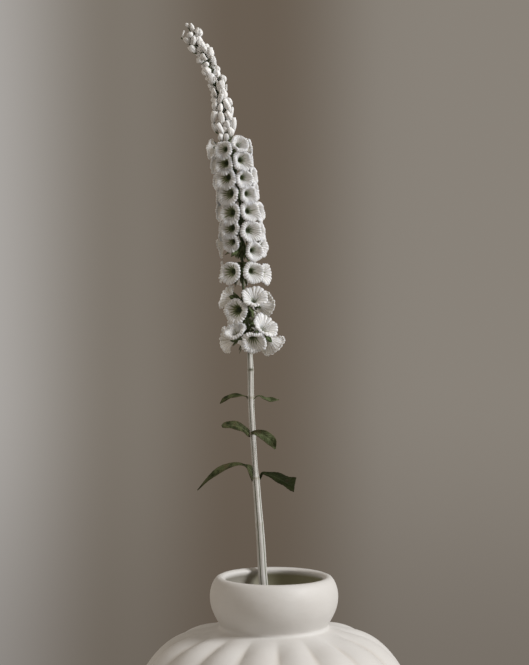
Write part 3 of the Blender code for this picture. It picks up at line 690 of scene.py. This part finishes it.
def corolla(piece, radius, depth, lip, lean, profile, rng, place, throat=1.0, back=False, side_on=False):
    """The ribbed, ruffled bell with its rolled lip. place(points) carries it to the world."""
    fan = profile is FAN
    folds = int(rng.integers(18, 22)) if fan else int(rng.integers(25, 30))
    around = folds * (4 if back else 6 if fan else 5)
    rows = 17 if back else 20
    wall = by_length(smooth_curve(profile, 10), np.linspace(0, 1, rows)**0.95)
    s = np.linspace(0, 1, rows)[:, None]
    phi = np.arange(around) / around * 2 * np.pi
    low = -np.sin(phi)  # 1 at the lower lip
    # Five broad lobes, longer below, with a ruffle of smaller waves.
    edge = (1 + lip * low + 0.040 * np.cos(5 * (phi + 0.3 * np.cos(phi)) + rng.uniform(0, 6))
            + 0.055 * ripple(phi, rng, (2, 3, 4)))
    grow = step(0.15, 1.0, s)
    r = wall[:, :1] * radius * (1 + (edge[None, :] - 1) * grow)
    z = wall[:, 1:2] * depth + lean * r * low[None, :] * step(0.2, 1.0, s)
    ruffle = ((0.085 if side_on else 0.150) * radius * ripple(phi, rng, (3, 4, 5, 6, 7), 0.3)
              + 0.050 * radius * ripple(phi, rng, (9, 11, 13, 15), 0.0))
    z = z + ruffle[None, :] * step(0.45, 0.9, s)**1.3
    psi = folds * phi + 2.6 * ripple(phi, rng, (1, 2, 3, 4), 0.3)
    # The edge is finely toothed, a tooth to a pleat.
    r = r * (1 + 0.016 * np.sin(psi + 0.6)[None, :] * step(0.80, 1.0, s))
    mid = np.stack([r * np.cos(phi), r * np.sin(phi), z], axis=-1)

    def frame_of(points):
        d_s = np.gradient(points, axis=0)
        d_phi = np.roll(points, -1, axis=1) - np.roll(points, 1, axis=1)
        normal = unit(np.cross(d_s, d_phi))  # to the inside of the bell
        return unit(d_s), normal

    _, normal = frame_of(mid)
    # Pleats: the wall swings from side to side, most of all round the lip.
    strong = 0.72 + 0.50 * ripple(phi, rng, (2, 3, 5, 7), 0.0)
    if fan:
        zone = 0.040 * step(0.22, 0.80, s) * (1 - 0.55 * step(0.84, 1.0, s))
    else:
        zone = 0.010 * step(0.25, 0.55, s) + 0.017 * step(0.50, 0.70, s)
    swing = radius * np.sin(psi)[None, :] * strong[None, :] * zone
    mid = mid + normal * swing[..., None]
    along, normal = frame_of(mid)
    # Ribs between narrow furrows, on both faces.
    fold = np.sqrt(np.sin(psi / 2 + np.pi / 4)**2 + 0.012)[None, :] + 0 * s
    rib = (0.034 if fan else 0.029) * radius * strong[None, :] * (0.35 + 0.65 * step(0.35, 0.75, s)) * step(0.05, 0.30, s)
    rib = rib * (1 - 0.80 * step(0.86, 1.0, s))  # thin at the edge
    half = 0.20 + 0.10 * (1 - s) + rib * fold
    turns = np.radians([45, 90, 135])
    inner = mid + normal * half[..., None]
    outer = mid - normal * half[..., None]
    cap = [mid[-1] + normal[-1] * (half[-1] * math.cos(a))[:, None] + along[-1] * (half[-1] * math.sin(a))[:, None]
           for a in turns]
    body = np.concatenate([inner, np.array(cap), outer[::-1]])
    # Colour fields: green throat with ragged streaks, pale elsewhere.
    teeth = int(rng.integers(12, 17))
    spikes = np.clip(0.5 + 0.5 * np.cos(teeth * phi + 1.8 * ripple(phi, rng, (1, 2, 3))), 0, 1)**1.5
    spikes = spikes * (0.55 + 0.45 * ripple(phi, rng, (3, 5, 8), 0.0))
    distance = np.hypot(mid[..., 0], mid[..., 1])
    green_in = 1 - step(0.72, 1.14, distance / ((0.26 * throat + 0.38 * spikes) * radius)[None, :])
    dark_in = 1 - step(0.70, 1.08, distance / ((0.140 * throat + 0.15 * spikes) * radius)[None, :])
    green_out = 0.35 * (1 - step(0.08, 0.34, s)) + 0 * phi[None, :]
    zero = np.zeros((len(turns), around))
    piece.rings(place(body), 0,
                fold=np.concatenate([fold, np.repeat(fold[-1:], len(turns), axis=0), fold[::-1]]),
                green=np.concatenate([green_in, zero, green_out[::-1]]),
                dark=np.concatenate([dark_in, zero, 0 * green_out]),
                rim=np.concatenate([s + 0 * phi, zero + 1, s[::-1] + 0 * phi]))
    return wall, mid


def calyx(piece, wall, radius, depth, rng, place, broad=False):
    """Five pointed sepals round the foot of the bell."""
    long = 0.36 if broad else 0.38 if radius < 13 else 0.42
    start = rng.uniform(0, 2 * np.pi)
    for k in range(5):
        size = rng.uniform(0.85, 1.2)
        a = np.linspace(0, 1, 9)[:, None]
        b = np.linspace(-1, 1, 7)[None, :]
        s = 0.02 + long * size * a
        at = np.linspace(0, 1, len(wall))
        r = np.interp(s, at, wall[:, 0]) * radius + 0.80 + 2.1 * a**1.6 * size
        z = np.interp(s, at, wall[:, 1]) * depth - 0.45 - 0.6 * a**2
        half = (4.1 if broad else 2.9) * (1 - a)**0.75 * (0.62 + 1.3 * a - 0.6 * a**2) * size + 0.06
        angle = start + k * 2 * np.pi / 5 + b * half / np.maximum(r, 2.1)
        r = r + 0.25 * np.abs(b) * half * 0.5 + 0 * b
        grid = np.stack([r * np.cos(angle), r * np.sin(angle), z + 0 * b], axis=-1)
        piece.sheet(place(grid), 0.42, 1, rib=np.exp(-(b / 0.3)**2) + 0 * a, edge=np.abs(b) + 0 * a)


# Clusters of pointed bracts seen on the stem: node they belong with, foot and tip in
# the picture, width in picture units, and how far the tip stands in front of the stem.
TUFTS = {
    "07_front_left": [(240.2, 247.0, 224.6, 255.0, 3.0, 14), (240.6, 246.0, 231.0, 257.0, 5.6, 16), (241.0, 244.0, 235.4, 257.4, 6.0, 14), (241.4, 243.0, 238.0, 259.0, 5.6, 10),
                      (242.0, 240.4, 240.6, 260.4, 4.2, 6), (243.2, 240.6, 244.8, 259.6, 4.4, 5), (243.4, 243.6, 249.0, 251.8, 2.4, 5),
                      (241.6, 247.0, 233.8, 250.2, 2.4, 7)],
    "08_front_left": [(242.4, 265.4, 237.6, 262.4, 3.6, 6), (242.8, 265.8, 247.4, 262.4, 3.6, 6), (242.2, 262.8, 239.4, 270.4, 3.8, 5),
                      (243.0, 261.8, 245.4, 270.6, 4.2, 5), (243.0, 271.6, 239.8, 281.0, 2.2, 4), (243.4, 271.6, 246.8, 280.6, 2.2, 4)],
    "09_front_left": [(243.0, 303.6, 234.6, 292.8, 2.4, 5), (243.2, 303.6, 241.6, 294.0, 2.8, 5), (242.6, 304.0, 237.2, 299.6, 2.8, 6),
                      (243.4, 304.4, 245.8, 299.0, 2.2, 4), (243.8, 305.4, 248.6, 308.6, 2.0, 5)],
    "11_front": [(246.4, 333.0, 242.6, 323.6, 2.4, 6), (246.6, 332.4, 248.0, 321.8, 3.2, 5), (247.0, 332.4, 252.2, 323.6, 2.8, 6),
                 (247.0, 333.0, 254.8, 329.4, 2.6, 7), (246.0, 333.2, 241.2, 328.4, 2.2, 6), (247.0, 331.6, 249.8, 326.0, 2.8, 8)],
}


def tuft(piece, node, rng):
    for x0, y0, x1, y1, wide, stand in TUFTS.get(node, []):
        height = in_view(x0, y0, 0.066)[2]
        centre, stem_radius = stem_at(height)
        foot = in_view(x0, y0, (centre[1] - stem_radius * 0.5) * MM)
        tip = in_view(x1, y1, (centre[1] - stem_radius - stand) * MM)
        out = np.array([0.0, -1.0, 0.0])
        a = foot + (tip - foot) * 0.30 + out * stand * 0.55
        b = foot + (tip - foot) * 0.68 + out * stand * 0.45
        half = wide * 0.58
        line = smooth_curve([(*foot, 0.9), (*a, half), (*b, half * 0.8), (*tip, 0.12)], 8)
        grid, u, v = ribbon(line, (rng.uniform(-0.5, 0.5), -1, 0.35), 18, 7, rng, cup=0.38, wave=0.14)
        piece.sheet(grid, 0.40, 1, rib=np.exp(-(v[None, :] / 0.3)**2) + 0 * u[:, None],
                    edge=np.abs(v)[None, :] + 0 * u[:, None])


def make_flower(number, spec):
    node, azimuth, height, reach, radius, face, pitch, depth, lip, lean, profile = spec
    rng = np.random.default_rng(100 + number)
    back = abs(azimuth) > (90 if profile is BELL else 140)
    axis, _ = stem_at(height)
    rim = axis + looking(azimuth) * reach
    rim[2] = height
    w = looking(face, pitch)
    u = np.array([math.cos(math.radians(face)), math.sin(math.radians(face)), 0.0])
    v = np.cross(w, u)
    foot = rim + v * lip * radius - w * depth * 0.90
    roll = rng.uniform(-0.15, 0.15)
    u, v = u * math.cos(roll) + v * math.sin(roll), v * math.cos(roll) - u * math.sin(roll)

    def place(points):
        return foot + points[..., :1] * u + points[..., 1:2] * v + points[..., 2:] * w

    piece = Piece()
    throat = SMALL_THROAT.get(node) or WIDE_THROAT.get(node[3:], 1.0)
    wall, _ = corolla(piece, radius, depth, lip, lean, profile, rng, place, throat, back, abs(face) > 60)
    calyx(piece, wall, radius, depth, rng, place, abs(face) > 90 and profile is FAN)
    # The stalk leaves the stem a little lower and arches up to the flower.
    out = foot - axis
    out[2] = 0
    out = unit(out)
    start_height = foot[2] - rng.uniform(4.5, 6.5)
    centre, stem_radius = stem_at(start_height)
    start = centre + out * stem_radius * 0.72
    path = bezier(start, start + out * 3.2 + np.array([0, 0, 2.6]), foot - w * 4.2 + np.array([0, 0, 0.3]), foot - w * 0.1, 12)
    t = np.linspace(0, 1, 12)
    radii = 0.72 + 0.35 * step(0.25, 0.0, t) + 1.45 * step(0.70, 1.0, t)
    rings = tube_rings(path, radii, 12)
    piece.rings(rings, 1, rib=0.35, edge=0.0)
    # Bracts below it: one pointed leaf that hangs out, and a small one to its side.
    across = np.array([-out[1], out[0], 0.0])
    low_row = int(node[:2]) in (6, 7, 8, 9, 10)
    for k in range(2):
        side = rng.uniform(-0.35, 0.35) + (0.0 if k == 0 else rng.choice([-0.9, 0.9]))
        droop = rng.uniform(0.3, 1.3) if k == 0 else rng.uniform(0.8, 1.8)
        base = centre + out * stem_radius * 0.75 - np.array([0, 0, 1.2 + 1.6 * k])
        long = rng.uniform(9.0, 12.5) * (1.15 if low_row else 0.95) * (1.0 if k == 0 else 0.72)
        wide = (2.3 if low_row else 1.8) * rng.uniform(0.85, 1.15) * (1.0 if k == 0 else 0.8)
        down = np.array([0, 0, -1.0])
        line = smooth_curve([
            (*(base), 0.9),
            (*(base + out * 0.30 * long + across * side * 0.25 * long - down * 0.9), wide * 0.9),
            (*(base + out * 0.58 * long + across * side * 0.50 * long + down * 1.3 * droop), wide),
            (*(base + out * 0.78 * long + across * side * 0.68 * long + down * 3.6 * droop), wide * 0.62),
            (*(base + out * 0.90 * long + across * side * 0.80 * long + down * 6.4 * droop), 0.12)], 8)
        grid, a, b = ribbon(line, (0, 0, 1), 14, 7, rng, cup=0.35, wave=0.12)
        piece.sheet(grid, 0.38, 1, rib=np.exp(-(b[None, :] / 0.3)**2) + 0 * a[:, None],
                    edge=np.abs(b)[None, :] + 0 * a[:, None])
    tuft(piece, node, rng)
    return piece.make("bloom_" + node, [PETAL, SEPAL], "petal", "flower_" + node)


for number, spec in enumerate(FLOWERS):
    make_flower(number, spec)

# ---- buds ----------------------------------------------------------------
# Where the front buds lie in the picture: centre, width and length, lean of the
# long axis (clockwise from upright), depth in front of the stem in mm, and kind.
BUDS = [
    (192.6, 27.6, 3.8, 7.8, -24, 3.0, "bud"), (187.2, 25.2, 3.6, 4.2, -30, 1.0, "bud"),
    (199.4, 33.0, 7.4, 7.4, 10, 3.5, "bud"), (190.4, 34.8, 5.4, 5.0, -20, 5.0, "bud"),
    (182.8, 34.2, 1.8, 6.4, 20, 0.0, "petal"), (193.8, 40.6, 4.6, 7.4, 8, 5.5, "bud"),
    (199.6, 40.2, 5.8, 6.8, -5, 4.0, "bud"), (202.0, 45.0, 5.2, 7.6, -32, 4.5, "bud"),
    (187.6, 40.4, 5.8, 6.2, -25, 0.5, "curl"), (192.4, 49.0, 5.8, 6.6, -30, 1.5, "bud"),
    (205.6, 50.2, 4.4, 6.8, -30, 4.5, "bud"), (210.2, 53.0, 6.4, 9.4, 6, 3.0, "bud"),
    (200.6, 49.4, 5.0, 5.2, -30, 1.5, "bud"), (203.8, 57.0, 7.4, 4.8, 60, 5.0, "curl"),
    (200.2, 60.0, 6.6, 5.6, -35, 3.0, "bud"), (213.8, 60.4, 4.6, 8.0, -6, 3.5, "bud"),
    (206.6, 64.2, 4.6, 4.2, -30, 4.5, "curl"), (207.4, 71.0, 8.6, 8.0, -28, 4.0, "bud"),
    (217.6, 69.2, 3.8, 6.2, -12, 5.0, "bud"), (217.8, 73.4, 4.0, 6.8, -14, 5.5, "bud"),
    (211.4, 78.2, 7.0, 9.2, -12, 4.5, "bud"), (223.8, 79.0, 5.0, 6.8, -10, 3.0, "bud"),
    (216.8, 80.6, 2.4, 6.8, -18, 7.0, "petal"), (210.6, 86.4, 4.0, 4.4, -20, 1.0, "bud"),
    (221.8, 85.6, 6.6, 9.2, -10, 5.5, "bud"), (226.4, 88.0, 2.4, 8.4, 2, 2.5, "petal"),
    (215.6, 92.2, 4.2, 7.6, -22, 6.0, "petal"), (218.0, 87.4, 3.4, 7.4, -14, 5.5, "petal"), (223.8, 93.8, 6.8, 9.8, -6, 6.0, "bud"),
    (213.0, 93.8, 2.4, 6.8, -8, 1.0, "petal"), (220.6, 98.8, 5.0, 8.4, 24, 6.5, "curl"),
    (227.2, 105.4, 5.8, 11.4, -28, 5.0, "bud"), (229.4, 101.4, 5.0, 7.0, -30, 4.0, "curl"),
    (216.0, 105.4, 5.4, 10.0, 10, 3.5, "bud"), (221.0, 107.8, 5.4, 7.8, 0, 6.5, "bud"),
    (232.6, 112.4, 3.8, 9.2, 6, 2.5, "bud"), (229.6, 116.2, 5.8, 10.6, -26, 6.0, "bud"),
    (214.6, 117.4, 6.6, 10.0, 12, 3.0, "curl"), (221.8, 118.2, 5.8, 10.6, -6, 7.0, "bud"),
    (233.4, 125.2, 5.4, 12.0, 2, 3.0, "curl"), (227.6, 124.6, 5.4, 7.8, -12, 7.0, "bud"),
    (220.4, 129.0, 4.6, 10.8, -28, 7.0, "curl"), (225.2, 128.0, 4.6, 7.8, 8, 6.0, "bud"),
    (230.6, 131.8, 4.4, 8.4, -8, 6.5, "bud"), (220.8, 137.0, 6.0, 6.4, -10, 4.0, "curl"),
    (226.6, 137.0, 4.8, 6.8, 10, 5.0, "bud"), (215.2, 127.2, 5.0, 8.2, -14, 1.0, "bud"),
]


def bud(piece, base, tip, half_width, rng, kind, flat=1.0):
    """A closed bud from its narrow foot to its tip, with creased, overlapping petals."""
    axis = tip - base
    length = np.linalg.norm(axis)
    w = axis / length
    seed = np.array([0, -1.0, 0.2])
    u = unit(seed - w * seed.dot(w))
    v = np.cross(w, u)
    if kind == "bud":
        rows, around = 15, 25
        t = np.linspace(0.0, 1.0, rows)
        t = 0.5 - 0.5 * np.cos(np.pi * t)
        t = np.clip(t, 0.012, 0.988)
        # Drop-shaped: widest above the middle, drawn out to the foot.
        swell = np.sin(np.pi * t**rng.uniform(1.0, 1.35))**0.66
        phi = np.arange(around) / around * 2 * np.pi
        petals = int(rng.integers(3, 5))
        twist = rng.uniform(-1.6, 1.6)
        wrap = (petals * phi[None, :] + twist * t[:, None] * 3 + rng.uniform(0, 6))
        saw = (wrap / (2 * np.pi)) % 1.0
        # Each petal rises slowly and drops at its edge over the next one.
        shape = 1 + 0.20 * (step(0.0, 0.85, saw) - step(0.87, 1.0, saw)) * np.sin(np.pi * t)[:, None]
        shape = shape * (0.96 + 0.07 * ripple(phi, rng, (2, 3))[None, :])
        bend = rng.uniform(-0.12, 0.12) * length * np.sin(np.pi * t)
        r = half_width * swell[:, None] * shape
        rows_xyz = (base + w * (t * length)[:, None, None] + u * (r * np.cos(phi))[..., None]
                    + v * (flat * r * np.sin(phi))[..., None] + v * bend[:, None, None])
        # fold marks the painted shade where each petal's edge lies over the next.
        piece.rings(rows_xyz, 0, fold=1 - np.exp(-((saw - 0.93) / 0.05)**2),
                    green=0.7 * (1 - step(0.02, 0.12, t))[:, None] + 0 * saw)
        loose = 1 if half_width < 2.5 else 2
    else:
        loose = 2 if kind == "curl" else 1
    # Petals standing off it: cupped shells, some curled in at the side.
    for k in range(loose):
        bow = rng.uniform(0.45, 0.75) if kind == "petal" else rng.uniform(0.8, 1.2)
        a = np.linspace(0, 1, 12)[:, None]
        b = np.linspace(-1, 1, 9)[None, :]
        long = length * rng.uniform(0.86, 1.05)
        broad = half_width * (1.06 if kind == "bud" else 1.05)
        half = broad * np.sin(np.pi * (0.05 + 0.88 * a)**1.1)**0.65
        facing = rng.uniform(-1.8, 0.6) if kind == "bud" else rng.uniform(-0.7, 0.7)
        angle = facing + b * bow
        tip_curl = rng.uniform(-0.10, 0.40) * half_width * a**3 * 2
        wave = 0.06 * half_width * np.cos(5 * b + 4 * a + rng.uniform(0, 6))
        rr = half + tip_curl + wave
        grid = (base + w * (a * long + 0 * b)[..., None] + u * (rr * np.cos(angle))[..., None]
                + v * (flat * rr * np.sin(angle))[..., None])
        # fold marks the painted shade along the loose petal's edges.
        piece.sheet(grid, 0.42, 0, fold=1 - 0.7 * np.abs(b)**6 + 0 * a, green=0.7 * (1 - step(0.02, 0.10, a)) + 0 * b)
    # Three small sepals and the stalk.
    start = rng.uniform(0, 6)
    for k in range(3):
        a = np.linspace(0, 1, 7)[:, None]
        b = np.linspace(-1, 1, 5)[None, :]
        r = half_width * (0.20 + 0.50 * a**0.8) + 0.15
        half = 0.62 * (1 - a)**0.7 * (0.7 + a) + 0.05
        angle = start + k * 2.094 + b * half / np.maximum(r, 0.9)
        z = -0.4 + 0.20 * length * a
        grid = (base + w * (z + 0 * b)[..., None] + u * (r * np.cos(angle))[..., None] + v * (flat * r * np.sin(angle))[..., None])
        piece.sheet(grid, 0.30, 1, rib=np.exp(-(b / 0.35)**2) + 0 * a, edge=np.abs(b) + 0 * a)
    foot_height = base[2] - 2.5
    centre, stem_radius = stem_at(min(foot_height, 934.5))
    out = base - centre
    out[2] *= 0.3
    out = unit(out)
    start = centre + out * stem_radius * 0.6
    path = bezier(start, start + out * 1.2, base - w * 1.6, base + w * 0.35, 8)
    piece.rings(tube_rings(path, np.linspace(0.50, 0.70, 8), 8), 1, rib=0.2, edge=0.0)


def small_bract(piece, height, azimuth, long, rng):
    centre, stem_radius = stem_at(height)
    out = looking(azimuth)
    along = stem_direction(height)
    base = centre + out * stem_radius * 0.6
    line = smooth_curve([(*base, 0.5), (*(base + out * 0.5 * long + along * 0.35 * long), 0.85),
                         (*(base + out * 0.85 * long + along * 0.75 * long), 0.10)], 6)
    grid, a, b = ribbon(line, along, 9, 5, rng, cup=0.3)
    piece.sheet(grid, 0.34, 1, rib=np.exp(-(b[None, :] / 0.3)**2) + 0 * a[:, None], edge=np.abs(b)[None, :] + 0 * a[:, None])


def make_buds():
    groups = {"bud_cluster_lower": Piece(), "bud_cluster_middle": Piece(), "bud_cluster_tip": Piece()}

    def group(z):
        return groups["bud_cluster_lower" if z < 857 else "bud_cluster_middle" if z < 899 else "bud_cluster_tip"]

    rng = np.random.default_rng(77)
    top = STEM_LINE[-1]
    for px, py, wide, long, lean, depth, kind in BUDS:
        guess = in_view(px, py, 0.0715)[2]
        y = float(stem_at(min(guess, 934))[0][1]) - depth
        centre = in_view(px, py, y * MM)
        scale = (y * MM - EYE[1]) / FOCAL / MM
        a = math.radians(lean)
        axis = unit(np.array([math.sin(a), -0.22, math.cos(a)]))
        half = long * scale / 2 * 1.30
        bud(group(centre[2]), centre - axis * half * 1.06, centre + axis * half * 0.94, wide * scale / 2 * 1.0, rng, kind)
    # The far side carries as many.
    count = 44
    for k in range(count):
        f = (k + 0.5) / count
        height = 818 + (931 - 818) * f
        centre, stem_radius = stem_at(height)
        azimuth = 180 + 92 * math.sin(k * 2.4)
        along = stem_direction(height)
        out = looking(azimuth)
        out = unit(out - along * out.dot(along))
        size = rng.uniform(0.9, 1.1) * (1.0 - 0.18 * f)
        reach = stem_radius + 1.6
        base = centre + out * reach
        axis = unit(out * rng.uniform(0.40, 0.75) + along * rng.uniform(0.6, 1.0))
        long = 10.0 * size
        bud(group(height), base, base + axis * long, 3.5 * size, rng, "bud" if k % 6 else "curl")
    for k in range(36):
        height = 815 + 117 * k / 35
        small_bract(group(height), height, k * 137.5, rng.uniform(3.0, 5.0), rng)
    for name, piece in groups.items():
        piece.make(name + "_closed", [BUD, SEPAL], "bud", name)


make_buds()

# ---- floor, light and backdrop -------------------------------------------
def disc(name, radius, z):
    rings, around = 24, 96
    rr = np.linspace(0, 1, rings)[1:] * radius
    angle = np.arange(around) / around * 2 * np.pi
    verts = [(0, 0, z)] + [(r * math.cos(a), r * math.sin(a), z) for r in rr for a in angle]
    faces = [(0, 1 + j, 1 + (j + 1) % around) for j in range(around)]
    for i in range(rings - 2):
        for j in range(around):
            a = 1 + i * around
            faces.append((a + j, a + around + j, a + around + (j + 1) % around, a + (j + 1) % around))
    mesh = bpy.data.meshes.new(name)
    mesh.from_pydata(verts, [], faces)
    obj = bpy.data.objects.new(name, mesh)
    scene.collection.objects.link(obj)
    return obj


floor = disc("floor", 0.93, 0.0)
look = Look("pale_floor", 0.8)
tint = look.mix(look.span(look.noise(0.25, 3.0), 0.35, 0.65), (0.60, 0.565, 0.52), (0.57, 0.535, 0.49))
look.colour(tint)
look.bump(look.noise(0.004, 3.0), 0.0003, 0.3)
# The floor thins out towards its edge.
length = look.tree.nodes.new("ShaderNodeVectorMath")
length.operation = "LENGTH"
look.tree.links.new(look.place, length.inputs[0])
fade = look.span(length.outputs["Value"], 0.45, 0.92)
clear = look.tree.nodes.new("ShaderNodeBsdfTransparent")
blend = look.tree.nodes.new("ShaderNodeMixShader")
look.tree.links.new(fade, blend.inputs[0])
look.tree.links.new(look.shader.outputs["BSDF"], blend.inputs[1])
look.tree.links.new(clear.outputs[0], blend.inputs[2])
look.tree.links.new(blend.outputs[0], look.tree.nodes["Material Output"].inputs["Surface"])
floor.data.materials.append(look.material)

world = bpy.data.worlds.new("room")
scene.world = world
world.use_nodes = True
tree = world.node_tree
background = tree.nodes["Background"]
background.inputs["Strength"].default_value = 1.0
# A quiet wall: darker where the room's corner is, behind the object, brighter
# towards a window on the left, and a little darker further down.
way = tree.nodes.new("ShaderNodeSeparateXYZ")
tree.links.new(tree.nodes.new("ShaderNodeTexCoord").outputs["Generated"], way.inputs[0])


def wall_span(axis, low, high, to_low, to_high):
    node = tree.nodes.new("ShaderNodeMapRange")
    node.interpolation_type = "SMOOTHSTEP"
    tree.links.new(way.outputs[axis], node.inputs["Value"])
    for key, number in (("From Min", low), ("From Max", high), ("To Min", to_low), ("To Max", to_high)):
        node.inputs[key].default_value = number
    return node.outputs["Result"]


def wall_times(a, b):
    node = tree.nodes.new("ShaderNodeMath")
    node.operation = "MULTIPLY"
    tree.links.new(a, node.inputs[0])
    tree.links.new(b, node.inputs[1])
    return node.outputs[0]


def wall_mix(factor, a, b, blend="MIX"):
    node = tree.nodes.new("ShaderNodeMix")
    node.data_type = "RGBA"
    node.blend_type = blend
    tree.links.new(factor, node.inputs[0])
    for socket, value in ((node.inputs[6], a), (node.inputs[7], b)):
        if isinstance(value, bpy.types.NodeSocket):
            tree.links.new(value, socket)
        else:
            socket.default_value = (*value, 1.0)
    return node.outputs[2]


corner = wall_times(wall_times(wall_span("X", -0.090, -0.020, 0.0, 1.0), wall_span("X", 0.0, 0.085, 1.0, 0.0)),
                    wall_span("Y", 0.5, 0.9, 0.0, 1.0))
wall = wall_mix(wall_span("X", -0.02, 0.12, 0.0, 1.0), (0.205, 0.180, 0.150), (0.250, 0.224, 0.192))
wall = wall_mix(corner, wall, (0.141, 0.112, 0.085))
wall = wall_mix(wall_span("X", -0.205, -0.100, 1.0, 0.0), wall, (0.425, 0.405, 0.385))
wall = wall_mix(wall_span("X", -0.340, -0.220, 1.0, 0.0), wall, (0.365, 0.312, 0.252))
wall = wall_mix(wall_span("Z", -0.25, -0.03, 0.42, 0.0), wall, (0.085, 0.066, 0.050))
tree.links.new(wall, background.inputs["Color"])


def soft_light(name, azimuth, elevation, distance, size, watts, colour, aim=(-0.02, 0.03, 0.5)):
    data = bpy.data.lights.new(name, "AREA")
    data.shape = "DISK"
    data.size = size
    data.energy = watts
    data.color = colour
    light = bpy.data.objects.new(name, data)
    scene.collection.objects.link(light)
    towards = looking(azimuth, elevation)
    place = np.array(aim) + towards * distance
    light.location = place
    from mathutils import Vector
    light.rotation_euler = Vector(towards).to_track_quat("Z", "Y").to_euler()
    return light


soft_light("key", 64, 28, 2.6, 0.95, 68.0, (0.99, 0.992, 1.0))
soft_light("fill", -72, 12, 2.6, 1.8, 5.6, (0.96, 0.98, 1.0))

scene.view_settings.view_transform = "Standard"
scene.view_settings.look = "None"
